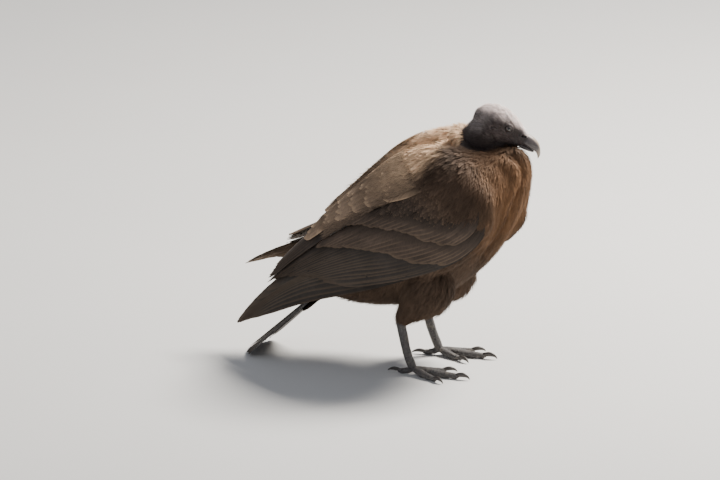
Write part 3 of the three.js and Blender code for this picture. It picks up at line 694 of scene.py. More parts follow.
def vanes(name, verts, section, shares, lengths, colours, roots, seed):
    """One mesh of many closed vanes. `verts` has the axes feather, station, place round the section."""
    count, stations, around = verts.shape[:3]
    index = np.arange(count * stations * around).reshape(count, stations, around)
    following = np.roll(index, -1, axis=2)
    sides = np.stack([index[:, :-1], following[:, :-1], following[:, 1:], index[:, 1:]], -1)
    quads = sides.reshape(-1, 4)
    caps = np.concatenate([index[:, -1], index[:, 0, ::-1]])
    corners = np.concatenate([quads.ravel(), caps.ravel()])
    starts = np.concatenate([np.arange(len(quads)) * 4, len(quads) * 4 + np.arange(len(caps)) * around])
    data = bpy.data.meshes.new(name)
    data.vertices.add(index.size)
    data.vertices.foreach_set("co", to_frame(verts).astype(np.float32).ravel())
    data.loops.add(len(corners))
    data.loops.foreach_set("vertex_index", corners.astype(np.int32))
    data.polygons.add(len(starts))
    data.polygons.foreach_set("loop_start", starts.astype(np.int32))
    data.update(calc_edges=True)
    data.polygons.foreach_set("use_smooth", np.ones(len(starts), bool))
    data.set_sharp_from_angle(angle=math.radians(70))
    across = np.broadcast_to(section[:, 0] * 0.5 + 0.5, verts.shape[:3])
    along = np.broadcast_to(shares[..., None], verts.shape[:3])
    vane = np.stack([across, along], -1).reshape(-1, 2)
    patch = np.stack([across - 0.5, along - 0.5], -1) * 0.003 + roots[:, None, None, :]
    for layer, places in (("OFBake", patch.reshape(-1, 2)), ("Vane", vane)):
        uv = data.uv_layers.new(name=layer)
        uv.data.foreach_set("uv", places[corners].astype(np.float32).ravel())
    shape = (count, -1, 1, 3)
    set_tint(data, np.broadcast_to(colours.reshape(shape), verts.shape).reshape(-1, 3))
    draw = np.random.default_rng(seed)
    for key, values in (("Seed", draw.random(count) * 40), ("Length", lengths)):
        set_values(data, key, np.repeat(values, stations * around))
    return data


def ragged(shape, amount, draw):
    """Factors near 1 that make the edges of vanes uneven."""
    return 1 + amount * draw.uniform(-1, 0.6, shape)


def ribbons(points, ups, half, thick, section, cup, draw, rough=0.0):
    """The points of vanes that follow lines of points with their up directions."""
    ways = unit(np.gradient(points, axis=1))
    across = unit(np.cross(ways, ups))
    over = np.cross(across, ways)
    place, height = section[:, 0], section[:, 1]
    edges = np.where(np.abs(place) > 0.9, ragged(half.shape + (len(section),), rough, draw), 1.0)
    out = half[..., None] * place * edges
    rise = thick[..., None] * height - cup * half[..., None] * place**2
    return points[:, :, None] + across[:, :, None] * out[..., None] + over[:, :, None] * rise[..., None]


def scatter(points, spacing, draw):
    """Indexes of points at least their spacing apart, in a random order."""
    cell = float(np.max(spacing))
    cells = np.floor(points / cell).astype(int)
    taken, kept = {}, []
    around = [(i, j, k) for i in (-1, 0, 1) for j in (-1, 0, 1) for k in (-1, 0, 1)]
    for n in draw.permutation(len(points)):
        x, y, z = cells[n]
        px, py, pz = points[n]
        limit = spacing[n] ** 2
        near = [q for i, j, k in around for q in taken.get((x + i, y + j, z + k), ())]
        if all((px - a) ** 2 + (py - b) ** 2 + (pz - c) ** 2 >= limit for a, b, c in near):
            taken.setdefault((x, y, z), []).append((px, py, pz))
            kept.append(n)
    return np.array(kept, int)


def sown(skin, chosen, spacing, draw):
    """Random places on the chosen triangles of the skin, one for each square of the spacing."""
    amount = skin["areas"] * chosen / spacing**2
    count = np.floor(amount + draw.random(len(amount))).astype(int)
    which = np.repeat(np.arange(len(amount)), count)
    a, b = draw.random((2, len(which), 1))
    flip = a + b > 1
    a, b = np.where(flip, 1 - a, a), np.where(flip, 1 - b, b)
    first, second, third = np.moveaxis(skin["corners"][which], 1, 0)
    return first + a * (second - first) + b * (third - first), which


def lie(points, ups):
    """The direction that the plumage lies in, away from the head and towards the tail."""
    from_top = unit(points - np.array([140.0, 3, 575]))
    way = from_top * 0.55 - FORWARD * 0.45
    for side in SIDES.values():
        hip, hock = np.array([12.0, side * 66, 215]), np.array([HOCK[0], side * HOCK[1], HOCK[2]])
        on_thigh = fall(points[..., 2], 175, 225) * (points[..., 1] * side > 25)
        way = lerp(way, unit(hock - hip), 0.85 * on_thigh[..., None])
    way = way - np.sum(way * ups, -1, keepdims=True) * ups
    return unit(way)


def head_lie(points, ups):
    """The direction that the down of the head lies in, back from the bill and down the neck."""
    nose = from_head(np.array([70.0, 0, 8]))
    way = unit(points - nose)
    way = way - np.sum(way * ups, -1, keepdims=True) * ups
    return unit(way)


def follow(tree, roots, ups, field, lengths, turns, steps):
    """Lines of points on the skin along its lie, with the up direction at each."""
    lines = np.zeros((len(roots), steps, 3))
    normals = np.zeros_like(lines)
    here, up = roots.copy(), ups.copy()
    for step in range(steps):
        lines[:, step], normals[:, step] = here, up
        if step == steps - 1:
            break
        way = field(here, up)
        side = np.cross(up, way)
        way = way * np.cos(turns)[:, None] + side * np.sin(turns)[:, None]
        ahead = here + way * (lengths / (steps - 1))[:, None]
        found = [tree.find_nearest(place)[:2] for place in ahead]
        here = np.array([place for place, _ in found])
        up = unit(0.5 * up + 0.5 * np.array([normal for _, normal in found]))
    return lines, normals


def trunk_unwrap(points):
    """Where points lie on an unwrap of the trunk, round it and along it."""
    along, up = points @ FORWARD, points @ DORSAL
    round_it = np.arctan2(points[..., 1], up - 212) / (2 * math.pi) + 0.5
    return np.stack([round_it, (along + 160) / 700], -1)


def head_unwrap(points):
    """Where points lie on an unwrap of the head, round it and along it."""
    head = to_head(points)
    round_it = np.arctan2(head[..., 1], head[..., 2]) / (2 * math.pi) + 0.5
    return np.stack([round_it, (head[..., 0] + 110) / 200], -1)


def coat(
    name, skin, chosen, sizes, colour, finish, seed,
    field=lie, unwrap=trunk_unwrap, nodes=(),
):
    """Small feathers or wisps all over a part of the skin.

    `sizes` holds each vane's length, half width, spacing, tip height, thickness, cup, outline, section
    and steps, how far it turns alone and with its neighbours, and how rough its edges are. Length,
    half width, spacing and tip height may be arrays over the skin. Wisps are sown without a least
    distance.
    """
    draw = np.random.default_rng(seed)

    def spread(key, which):
        return np.broadcast_to(np.asarray(sizes[key], float), chosen.shape)[which]

    spacing = spread("spacing", slice(None))
    if sizes["section"] is WISP_SECTION:
        roots, which = sown(skin, chosen, spacing, draw)
    else:
        roots, which = sown(skin, chosen, spacing * 0.5, draw)
        kept = scatter(roots, spacing[which], draw)
        roots, which = roots[kept], which[kept]
    count, steps = len(roots), sizes["steps"]
    lengths = spread("length", which) * draw.uniform(0.8, 1.18, count)
    half = spread("half", which) * draw.uniform(0.85, 1.12, count)
    tips = spread("tips", which) * draw.uniform(0.7, 1.25, count)
    turns = draw.normal(0, sizes["turn"], count) + sizes["comb"] * mottle(roots, 34, seed)
    lines, normals = follow(skin["tree"], roots, skin["normals"][which], field, lengths, turns, steps)
    t = np.linspace(0, 1, steps)
    base = sizes.get("base", -1.2)
    rise = base + (tips[:, None] - base) * t**sizes.get("curl", 0.9)
    points = lines + normals * rise[..., None]
    half = half[:, None] * sizes["outline"](t)[0]
    section = sizes["section"]
    thick = sizes["thick"] * (1 - 0.6 * t) * np.ones((count, 1)) / 2
    verts = ribbons(points, normals, half, thick, section, sizes["cup"], draw, sizes["rough"])
    tone = draw.normal(1, sizes.get("tone", 0.06), (count, 1))
    colours = colour(roots) * tone
    shares = np.broadcast_to(t, (count, steps))
    data = vanes(name, verts, section, shares, lengths * 0.01, colours, unwrap(roots), seed)
    return piece(name, data, finish, nodes)


# Materials.


def add(tree, kind, inputs=None, **settings):
    """A node with its settings and its inputs, which are values or other sockets."""
    made = tree.nodes.new(kind)
    for key, value in settings.items():
        setattr(made, key, value)
    for key, value in (inputs or {}).items():
        if isinstance(value, bpy.types.NodeSocket):
            tree.links.new(value, made.inputs[key])
        else:
            made.inputs[key].default_value = value
    return made


def maths(tree, operation, *values):
    """The result of a Math node."""
    return add(tree, "ShaderNodeMath", dict(enumerate(values)), operation=operation).outputs[0]


def ranged(tree, value, low, high, to_low=0.0, to_high=1.0):
    """A value moved from one range to another, held at its ends, with a smooth rise."""
    inputs = {"Value": value, "From Min": low, "From Max": high, "To Min": to_low, "To Max": to_high}
    return add(tree, "ShaderNodeMapRange", inputs, interpolation_type="SMOOTHSTEP").outputs["Result"]


def mixed(tree, factor, first, second):
    """Two colours mixed."""
    made = add(tree, "ShaderNodeMix", data_type="RGBA", clamp_factor=True)
    for key, value in ((0, factor), (6, first), (7, second)):
        if isinstance(value, bpy.types.NodeSocket):
            tree.links.new(value, made.inputs[key])
        elif key == 0:
            made.inputs[key].default_value = value
        else:
            made.inputs[key].default_value = (*value[:3], 1)
    return made.outputs[2]


def scaled(tree, colour, amount):
    """A colour times a number."""
    vector = add(tree, "ShaderNodeVectorMath", {0: colour, "Scale": amount}, operation="SCALE")
    return vector.outputs["Vector"]


def noise(tree, vector, scale, detail=3.0, rough=0.55):
    """A noise pattern's value."""
    inputs = {"Vector": vector, "Scale": scale, "Detail": detail, "Roughness": rough}
    return add(tree, "ShaderNodeTexNoise", inputs).outputs["Fac"]


def new_finish(name, roughness, **sockets):
    """A new material, its node tree and its shader."""
    material = bpy.data.materials.new(name)
    material.use_nodes = True
    tree = material.node_tree
    shader = tree.nodes["Principled BSDF"]
    shader.inputs["Roughness"].default_value = roughness
    for key, value in sockets.items():
        shader.inputs[key.replace("_", " ")].default_value = value
    return material, tree, shader


def bump(tree, shader, height, distance, strength=1.0):
    """Raises a shader's surface by a pattern."""
    made = add(tree, "ShaderNodeBump", {"Height": height, "Distance": distance, "Strength": strength})
    tree.links.new(made.outputs["Normal"], shader.inputs["Normal"])


def times(tree, first, second):
    """Two values multiplied."""
    return maths(tree, "MULTIPLY", first, second)


def attribute(tree, name, output="Fac"):
    """A value or a colour stored on the mesh."""
    return add(tree, "ShaderNodeAttribute", attribute_name=name).outputs[output]


def object_place(tree):
    """Each point's place in the object's own axes."""
    return add(tree, "ShaderNodeTexCoord").outputs["Object"]


def combined(tree, x, y, z=0.0):
    """Three values as one vector."""
    return add(tree, "ShaderNodeCombineXYZ", {"X": x, "Y": y, "Z": z}).outputs[0]


def cell_gaps(tree, place, scale):
    """How far points are from the edges of small irregular cells."""
    cells = add(tree, "ShaderNodeTexVoronoi", {"Vector": place, "Scale": scale}, feature="DISTANCE_TO_EDGE")
    return cells.outputs["Distance"]


def paint(tree, shader, colour, roughness=None):
    """Gives a shader its colour and, where it varies, its roughness."""
    tree.links.new(colour, shader.inputs["Base Color"])
    if roughness is not None:
        tree.links.new(roughness, shader.inputs["Roughness"])


def vane_finish(name, fringe, fringe_amount, shaft, root_shade, streak, sheen, roughness=0.72):
    """The finish of feathers: barbs, a shaft, a pale fringe and painted shade towards the root, where the
    feathers overlap.
    """
    gloss = {"Sheen_Roughness": 0.5, "Sheen_Tint": (0.75, 0.6, 0.45, 1), "Specular_IOR_Level": 0.18}
    material, tree, shader = new_finish(name, roughness, Sheen_Weight=sheen, **gloss)
    tint = attribute(tree, "Tint", "Color")
    vane = add(tree, "ShaderNodeUVMap", uv_map="Vane").outputs["UV"]
    from_left, share, _ = add(tree, "ShaderNodeSeparateXYZ", {0: vane}).outputs
    side = maths(tree, "MULTIPLY_ADD", from_left, 2.0, -1.0)
    across = maths(tree, "ABSOLUTE", side)
    slant = maths(tree, "MULTIPLY_ADD", across, -0.16, times(tree, share, attribute(tree, "Length")))
    offset = maths(tree, "ADD", attribute(tree, "Seed"), maths(tree, "SIGN", side))
    barbs, broad = (
        noise(tree, combined(tree, times(tree, slant, closeness), across, offset), 1.0, 2.0)
        for closeness in (110.0, 9.0)
    )
    light = ranged(tree, barbs, 0.3, 0.7, 1 - streak, 1 + streak)
    light = times(tree, light, ranged(tree, broad, 0.3, 0.7, 0.93, 1.07))
    # Painted shade: each vane is darker towards its root, where the feathers over it would shade it.
    light = times(tree, light, ranged(tree, share, 0.1, 0.62, root_shade, 1.0))
    edge = maths(tree, "MAXIMUM", ranged(tree, across, 0.72, 1.0), ranged(tree, share, 0.86, 1.0))
    edge = times(tree, times(tree, edge, ranged(tree, share, 0.25, 0.6)), fringe_amount)
    colour = mixed(tree, edge, scaled(tree, tint, light), fringe)
    quill = times(tree, maths(tree, "SUBTRACT", 1.0, ranged(tree, across, 0.02, 0.09)), shaft)
    paint(tree, shader, mixed(tree, quill, colour, scaled(tree, tint, 0.45)))
    bump(tree, shader, maths(tree, "ADD", barbs, times(tree, quill, 1.5)), 0.0005, 0.5)
    return material


def skin_finish():
    """The bare and downy skin of the head, and the skin under the plumage."""
    softness = {"Specular_IOR_Level": 0.35, "Subsurface_Weight": 0.06, "Subsurface_Scale": 0.003}
    material, tree, shader = new_finish("Head skin", 0.62, **softness)
    place = object_place(tree)
    fine = noise(tree, place, 900, 3)
    crease = ranged(tree, cell_gaps(tree, place, 760.0), 0.0, 0.3)
    blotch = ranged(tree, noise(tree, place, 110, 4), 0.3, 0.7, 0.82, 1.16)
    # Painted shade: the skin is made a little darker in its creases.
    light = times(tree, blotch, ranged(tree, crease, 0, 1, 0.94, 1.02))
    colour = scaled(tree, attribute(tree, "Tint", "Color"), light)
    paint(tree, shader, colour, ranged(tree, fine, 0.2, 0.8, 0.5, 0.75))
    bump(tree, shader, maths(tree, "MULTIPLY_ADD", crease, 0.35, fine), 0.0002, 0.6)
    return material


def horn_finish(name, dark, pale, roughness):
    """Horn of the bill or the claws, in streaks along its growth."""
    material, tree, shader = new_finish(name, roughness, Coat_Weight=0.12, Coat_Roughness=0.25)
    place = object_place(tree)
    turned = add(tree, "ShaderNodeMapping", {"Vector": place, "Rotation": (0, -HEAD_PITCH, -HEAD_YAW)})
    stretched = add(tree, "ShaderNodeMapping", {"Vector": turned.outputs[0], "Scale": (90, 420, 420)})
    streak = noise(tree, stretched.outputs[0], 1.0, 4)
    grain = noise(tree, place, 700, 3)
    base = mixed(tree, ranged(tree, streak, 0.35, 0.7), dark, pale)
    colour = mixed(tree, 0.5, attribute(tree, "Tint", "Color"), base)
    colour = scaled(tree, colour, ranged(tree, grain, 0.2, 0.8, 0.85, 1.12))
    paint(tree, shader, colour, ranged(tree, grain, 0.2, 0.8, roughness - 0.08, roughness + 0.14))
    bump(tree, shader, maths(tree, "MULTIPLY_ADD", streak, 0.7, grain), 0.0003, 0.5)
    return material


def scale_finish():
    """The scaly skin of the legs and toes."""
    look = bpy.context.scene.condor_feet
    material, tree, shader = new_finish("Leg scales", 0.6)
    place = object_place(tree)
    hue = add(tree, "ShaderNodeTexVoronoi", {"Vector": place, "Scale": 300.0})
    groove = ranged(tree, cell_gaps(tree, place, 300.0), 0.0, 0.16)
    dust = noise(tree, place, 60, 5)
    value = add(tree, "ShaderNodeSeparateColor", {0: hue.outputs["Color"]}).outputs[0]
    base = mixed(tree, ranged(tree, value, 0.0, 1.0, 0.0, 0.55), rgb(look.scale), rgb(look.scale) * 1.7)
    base = mixed(tree, maths(tree, "SUBTRACT", 1.0, groove), base, rgb(look.groove))
    base = mixed(tree, ranged(tree, dust, 0.5, 0.75, 0.0, 0.45), base, rgb(look.dust))
    paint(tree, shader, base, ranged(tree, dust, 0.3, 0.7, 0.5, 0.78))
    bump(tree, shader, groove, 0.0006, 0.9)
    return material


def eye_finish():
    """A brown iris and a black pupil under a wet, clear surface."""
    look = bpy.context.scene.condor_head
    material, tree, shader = new_finish("Eye", 0.2, Coat_Weight=0.8, Coat_Roughness=0.06)
    away = attribute(tree, "Away")
    rays = combined(tree, times(tree, attribute(tree, "Turn"), 9.0), away)
    fibre = noise(tree, rays, 1.6, 3)
    iris = mixed(tree, ranged(tree, fibre, 0.3, 0.7), rgb(look.iris) * 0.5, rgb(look.iris) * 1.5)
    colour = mixed(tree, ranged(tree, away, 0.25, 0.3), (0.004, 0.003, 0.003), iris)
    paint(tree, shader, mixed(tree, ranged(tree, away, 0.62, 0.7), colour, (0.02, 0.014, 0.012)))
    return material


def floor_finish():
    """A pale matt floor."""
    look = bpy.context.scene.condor_stage
    material, tree, shader = new_finish("Studio floor", 0.8)
    soft = noise(tree, object_place(tree), 1.3, 3)
    paint(tree, shader, mixed(tree, ranged(tree, soft, 0.3, 0.7), rgb(look.floor) * 0.98, rgb(look.floor)))
    return material


# Sizes and colours that a user would change.


def colour_property(name, place, default):
    """The colour of one place."""
    given = dict(name=name, description=f"Colour of {place}", default=default)
    return FloatVectorProperty(subtype="COLOR", size=3, min=0, max=1, **given)


def size_property(name, description, default, unit="LENGTH"):
    """A size or a power."""
    return FloatProperty(name=name, description=description, default=default, unit=unit)


class CondorPlumage(PropertyGroup):
    """Colours and sizes of the plumage."""

    # The mantle's golden brown is partly its own colour and partly painted sunlight on the top of the back.
    mantle: colour_property("Mantle", "the shoulders", (0.74, 0.51, 0.325))
    mantle_low: colour_property("Lower mantle", "the back", (0.27, 0.19, 0.13))
    breast: colour_property("Breast", "the breast and the flanks", (0.078, 0.05, 0.034))
    # The crop's warm brown is partly its own colour and partly painted sunlight on the front of the breast.
    crop: colour_property("Crop", "the front of the crop", (0.2, 0.104, 0.05))
    belly: colour_property("Belly", "the belly and the vent", (0.085, 0.054, 0.035))
    coverts: colour_property("Coverts", "the wing coverts", (0.062, 0.044, 0.034))
    flight: colour_property("Flight feathers", "the wing and tail feathers", (0.032, 0.026, 0.023))
    fringe: colour_property("Fringe", "the feathers' pale edges", (0.36, 0.25, 0.16))
    feather_length: size_property("Feather length", "Length of a breast feather", 0.031)
    coat_depth: size_property("Coat depth", "Depth of the plumage over the skin", 0.009)
    wisp_spacing: size_property("Wisp spacing", "Distance between loose wisps", 0.00275)


class CondorHead(PropertyGroup):
    """Colours and sizes of the head."""

    skin: colour_property("Skin", "the sides of the head", (0.05, 0.036, 0.034))
    cheek: colour_property("Cheek", "the down on the cheeks", (0.13, 0.105, 0.098))
    occiput: colour_property("Occiput", "the back of the head", (0.29, 0.255, 0.245))
    crown: colour_property("Crown", "the crown", (0.76, 0.65, 0.62))
    cere: colour_property("Cere", "the skin round the nostrils", (0.032, 0.025, 0.026))
    bill_dark: colour_property("Bill, dark", "the bill's dark streaks", (0.06, 0.05, 0.052))
    bill_pale: colour_property("Bill, pale", "the bill's pale streaks", (0.17, 0.145, 0.14))
    bill_tip: colour_property("Bill tip", "the bill's hook", (0.42, 0.33, 0.25))
    iris: colour_property("Iris", "the iris", (0.05, 0.024, 0.012))
    down_length: size_property("Down length", "Length of the down on the crown", 0.0045)


class CondorFeet(PropertyGroup):
    """Colours of the feet and the claws."""

    scale: colour_property("Scales", "the leg scales", (0.105, 0.098, 0.095))
    groove: colour_property("Grooves", "the grooves between the scales", (0.03, 0.027, 0.026))
    dust: colour_property("Dust", "the dust on the feet", (0.33, 0.28, 0.23))
    claw_dark: colour_property("Claws, dark", "the claws' dark streaks", (0.02, 0.017, 0.016))
    claw_pale: colour_property("Claws, pale", "the claws' pale streaks", (0.09, 0.075, 0.065))


class CondorStage(PropertyGroup):
    """Floor, lights and camera."""

    floor: colour_property("Floor", "the floor", (0.74, 0.735, 0.72))
    key_power: size_property("Key power", "Power of the main light", 620.0, "POWER")
    fill_power: size_property("Fill power", "Power of the front light", 24.0, "POWER")
    azimuth: FloatProperty(
        name="Azimuth", description="Direction of the view", default=math.radians(20), subtype="ANGLE"
    )
    elevation: FloatProperty(
        name="Elevation", description="Slope of the view", default=math.radians(15), subtype="ANGLE"
    )
    distance: size_property("Distance", "From the camera to the bird", 28.0)
    focal_length: FloatProperty(name="Focal length", description="Of the camera's lens", default=651.2)


# Pieces.

WORK = {}


def arm_slab(side):
    """A function for the feathered limb of a folded wing."""

    def at(u, v, outside):
        share = lerp(0.0 if side > 0 else 0.085, 0.93, v)
        root = root_line(share)[0]
        place = lerp(root - 34, ARM_FRONT - 2, u)
        ahead = np.clip((place - root - 60) / (ARM_FRONT - root - 60), 0, 1)
        height = np.where(ahead > 0, arm_front(ahead)[0], arm_rear(place - root)[0])
        rim = smoothstep(np.abs(v - 0.5), 0.43, 0.5)
        height = height - 5 * rim
        return wing_at(place, share, 0 * share, np.where(outside, height, -SHELL_DEPTH), side)

    return at


def hand_slab(side):
    """A function for the folded hand along the wing's lower edge."""

    def at(u, v, outside):
        place = 175 + 212 * u
        height = np.where(u > 0.4, -20, -16) - 8 * v
        if side > 0:
            bend = smoothstep(place, 225, 285) * fall(place, 346, 384)
            height = lerp(height, -1.5, bend)
        return wing_at(place, 0.78 + 0.2 * v, 0 * u, np.where(outside, height, -SHELL_DEPTH), side)

    return at


def nape_line():
    """The line of the downy bulk behind the head."""
    return smooth_line([from_head([-34, 0, -2]), from_head([-34, 0, -34]), (105, 0, 500)])


def throat_line():
    """The line of the loose skin between the jaw and the breast."""
    return smooth_line([from_head([14, 0, -22]), from_head([-2, 0, -46]), (142, 2, 476)])


def shoulder_fill(side):
    """A function for the plumage that joins the breast to the front of a folded wing."""

    def trunk(along, turn, inset):
        share = np.clip((TRUNK_MIDDLE - along) / (TRUNK_HALF - inset), -0.999, 0.999)
        return trunk_at(np.arccos(share) / math.pi, side * turn, inset)

    def at(u, v, outside):
        along = lerp(330, 466, u)
        turn = np.radians(lerp(30, 148, v))
        place = np.minimum(along, 414)
        first, last = np.radians(wing_edges(place))
        shell = wing_at(place, (turn - first) / (last - first), 0 * u, -1.0 + 0 * u, side)
        base = trunk(along, turn, 9)
        ahead = smoothstep(along, *((350, 424) if side > 0 else (374, 462)))
        below = smoothstep(v, *((0.3, 0.86) if side > 0 else (0.5, 1.0)))
        join = np.maximum(np.maximum(ahead, below), fall(v, 0.0, 0.1))
        return np.where(outside[:, None], lerp(shell, base, join[:, None]), trunk(along, turn, 50))

    return at


def collar_ring(mesh):
    """Adds the collar of the ruff, under its feathers, to a bmesh."""
    up, ahead = collar_axes()
    for vert in ring_tube(mesh, 14, 9.0, COLLAR["radius"] - 4, 48):
        x, y, z = vert.co
        behind = max(0.0, -x / math.hypot(x, y))
        place = np.array(COLLAR["at"]) + ahead * x + LEFT * y * COLLAR["wide"]
        vert.co = place + up * (z * 1.2 - 12 + 10 * behind)


def gauss(distance, width):
    """A smooth bump of height one."""
    return np.exp(-((distance / width) ** 2))


def head_relief(head):
    """How far the head's skin stands out (+) or is sunk (-) at points in its own axes."""
    x, y, z = head[:, 0], np.abs(head[:, 1]), head[:, 2]
    side = smoothstep(y, 10, 18)
    eye = np.hypot((x - EYE["x"]) / 1.08, (z - EYE["z"]) / 0.96)
    relief = 0.7 * gauss(eye - 9.4, 2.0) - 0.6 * gauss(eye - 12.6, 1.5)
    relief += 0.35 * np.sin(eye * 2.6) * gauss(eye - 13, 4)
    relief -= 6.5 * fall(eye, 6.0, 8.2)
    relief += 1.5 * gauss(z - 15 - 0.05 * x, 4) * gauss(x - 4, 17)
    relief -= 1.8 * gauss(x - 23, 8) * gauss(z - 3, 9)
    relief += 2.0 * gauss(x + 12, 13) * gauss(z + 15, 9)
    mouth = z + 18.7 - 0.071 * (x - 5)
    open_part = smoothstep(x, 0, 7)
    lips = 1.1 * gauss(mouth - 2.2, 1.3) + 1.0 * gauss(mouth + 2.3, 1.4)
    relief += open_part * (lips - 2.6 * gauss(mouth, 0.85))
    relief -= 1.4 * gauss(np.hypot(x + 1, mouth), 3.2)
    relief *= side
    nostril = np.hypot(np.maximum(0, np.abs(x - 41) - 3.2), z - 5)
    hollow = 6.5 * fall(nostril, 0.9, 2.4)
    relief += smoothstep(y, 4, 9) * (0.9 * gauss(nostril - 3.4, 1.3) - hollow)
    ear = np.hypot(x + 30, z + 7)
    relief += side * (0.8 * gauss(ear - 5.6, 1.6) - 4.0 * fall(ear, 1.2, 4.6))
    face = smoothstep(x, -50, -20) * fall(x, 36, 46)
    folds = np.sin((0.55 * x + 0.85 * z) / 2.1 + 1.6 * mottle(head, 26, 21))
    relief += 0.5 * folds * face * side * smoothstep(eye, 14, 20)
    rear = fall(x, -46, -22)
    relief += 0.75 * rear * np.sin(x / 2.0 + 1.8 * mottle(head, 34, 22))
    crown = smoothstep(z, 10, 24)
    relief += 0.3 * crown * np.sin(y / 1.5 + 1.4 * mottle(head, 30, 23))
    throat = gauss(head[:, 1], 7) * smoothstep(-z, 12, 26) * smoothstep(x, -40, -10) * fall(x, 30, 46)
    relief += 3.0 * throat
    relief += 0.9 * gauss(x - 47, 2.6)
    return relief + 0.22 * mottle(head, 5, 24)


class CONDOR_OT_skin(Operator):
    """Build the one skin of head, neck, trunk, thighs and wing limbs"""

    bl_idname = "condor.skin"
    bl_label = "Skin"

    def execute(self, context):
        depth = context.scene.condor_plumage.coat_depth * 1000
        mesh = bmesh.new()
        ringed(mesh, lambda t, angle: trunk_at(t, angle, depth), 60, 64)
        ringed(mesh, limb_at(neck_line, neck_sizes, 3.0), 24, 32)
        ringed(mesh, lambda t, angle: from_head(head_at(t, angle)), 70, 64)
        ringed(mesh, limb_at(nape_line(), nape_sizes), 24, 32)
        ringed(mesh, limb_at(throat_line(), throat_sizes), 20, 28)
        collar_ring(mesh)
        for side in SIDES.values():
            ringed(mesh, limb_at(thigh_line(side), thigh_sizes, 7.0), 36, 32)
            slab(mesh, arm_slab(side), 64, 34)
            slab(mesh, hand_slab(side), 20, 8)
            slab(mesh, shoulder_fill(side), 40, 34)
        mesh = bmesh_of(remeshed(shape_from(mesh, "rough"), 0.004))
        largest_part(mesh)
        head = to_head(vert_points(mesh))
        reach = head_reach(head)
        plain = [v for v, h, r in zip(mesh.verts, head, reach) if h[0] < -58 or r > 1.25]
        soften(mesh, plain, 10)
        places = vert_points(mesh)
        along, across, up = places @ FORWARD, places[:, 1], places @ DORSAL
        bend = (along > 325) & (along < 486) & (up < 335) & (up > np.where(across > 0, 150, 70))
        bend = bend & (np.abs(across) > 34) & (reach > 1.3)
        soften(mesh, [vert for vert, use in zip(mesh.verts, bend) if use], 55)
        self.fold_crop(mesh, reach > 1.3)
        self.refine_head(mesh, -74, 2)
        data = shape_from(mesh, "skin")
        self.shape_head(data)
        points = from_frame(mesh_points(data))
        head = to_head(points)
        near = np.maximum(self.nearness(head), smoothstep(points[:, 2], 490, 510) * (points[:, 0] < 150))
        colours = body_colour(points) * 0.55
        set_tint(data, colours + (head_colour(head) - colours) * near[:, None])
        nodes = ("torso", "neck", "head", "thigh_left", "thigh_right")
        skin = piece("skin", data, skin_finish(), nodes)
        WORK["skin"] = self.surface(skin.data)
        return {"FINISHED"}

    def refine_head(self, mesh, rear, rounds):
        """Divides the head's faces until they are small enough for its folds."""
        for _ in range(rounds):
            centres = to_head(np.array([face.calc_center_median() for face in mesh.faces]))
            chosen = (centres[:, 0] > rear) & (head_reach(centres) < 1.22) & (centres[:, 0] < 70)
            edges = {edge for face, use in zip(mesh.faces, chosen) if use for edge in face.edges}
            bmesh.ops.subdivide_edges(mesh, edges=list(edges), cuts=1, use_grid_fill=True)
            soften(mesh, list({vert for edge in edges if edge.is_valid for vert in edge.verts}), 1)

    def fold_crop(self, mesh, free):
        """Presses a furrow beside the middle of the breast and raises the crop under the bill."""
        mesh.normal_update()
        points = vert_points(mesh)
        normals = np.array([vert.normal for vert in mesh.verts])
        x, y, z = points.T
        line = -25 - 17 * smoothstep(450 - z, 0, 50) + 3 * np.sin(z / 17)
        gap = y - line
        front = smoothstep(normals[:, 0], 0.15, 0.5) * smoothstep(x, 110, 135) * free
        high = front * smoothstep(z, 215, 290) * fall(z, 486, 504)
        depth = 4.5 * gauss(gap + 16, 9) - 12 * gauss(gap, 7.5) + 2 * gauss(gap - 22, 12)
        depth = depth + 2.4 * np.sin(gap / 5.2 + z / 38) * gauss(gap, 62) * (1 - gauss(gap, 16))
        moved = normals * (depth * high)[:, None]
        rise = gauss(np.hypot(x - 200, y + 4), 24) * smoothstep(z, 455, 480) * free
        moved = moved + np.outer(rise, [1.5, 0, 9])
        for vert, move in zip(mesh.verts, moved):
            vert.co += Vector(move)

    def nearness(self, head):
        """How far points belong to the head (1) and not to the neck (0)."""
        x, _, z = head.T
        rear = lerp(-62, -84, smoothstep(z, -14, 12))
        return smoothstep(x, rear - 8, rear + 8) * fall(head_reach(head), 1.12, 1.35)

    def shape_head(self, data):
        """Sets the head's skin on its exact form and raises its folds."""
        head = to_head(from_frame(mesh_points(data)))
        x = np.clip(head[:, 0], HEAD_REAR + 0.01, HEAD_FRONT - 0.01)
        t = np.arccos(np.clip((HEAD_MIDDLE - x) / HEAD_HALF, -1, 1)) / math.pi
        opened = np.maximum(np.sin(t * math.pi), 1e-3) ** np.where(t < 0.5, 0.75, 0.3)
        width, top, bottom = head_shape(x)
        height = np.where(head[:, 2] > 0, top, bottom) * opened
        reach = np.hypot(head[:, 1] / (width * opened), head[:, 2] / height)
        on_form = smoothstep(head[:, 0], -60, -50) * fall(head[:, 0], 44, 50)
        on_form = on_form * fall(np.abs(reach - 1), 0.06, 0.16)
        head[:, 1:] *= (1 + (1 / reach - 1) * on_form)[:, None]
        ahead = smoothstep(head[:, 0], BILL_BASE - 4, BILL_BASE + 1) * (reach < 1.4)
        head[:, 0] = lerp(head[:, 0], np.minimum(head[:, 0], BILL_BASE + 1), ahead)
        shaped = to_frame(from_head(head))
        set_points(data, shaped)
        move = head_relief(head) * self.nearness(head) * 0.001
        set_points(data, shaped + mesh_points(data, "normal") * move[:, None])

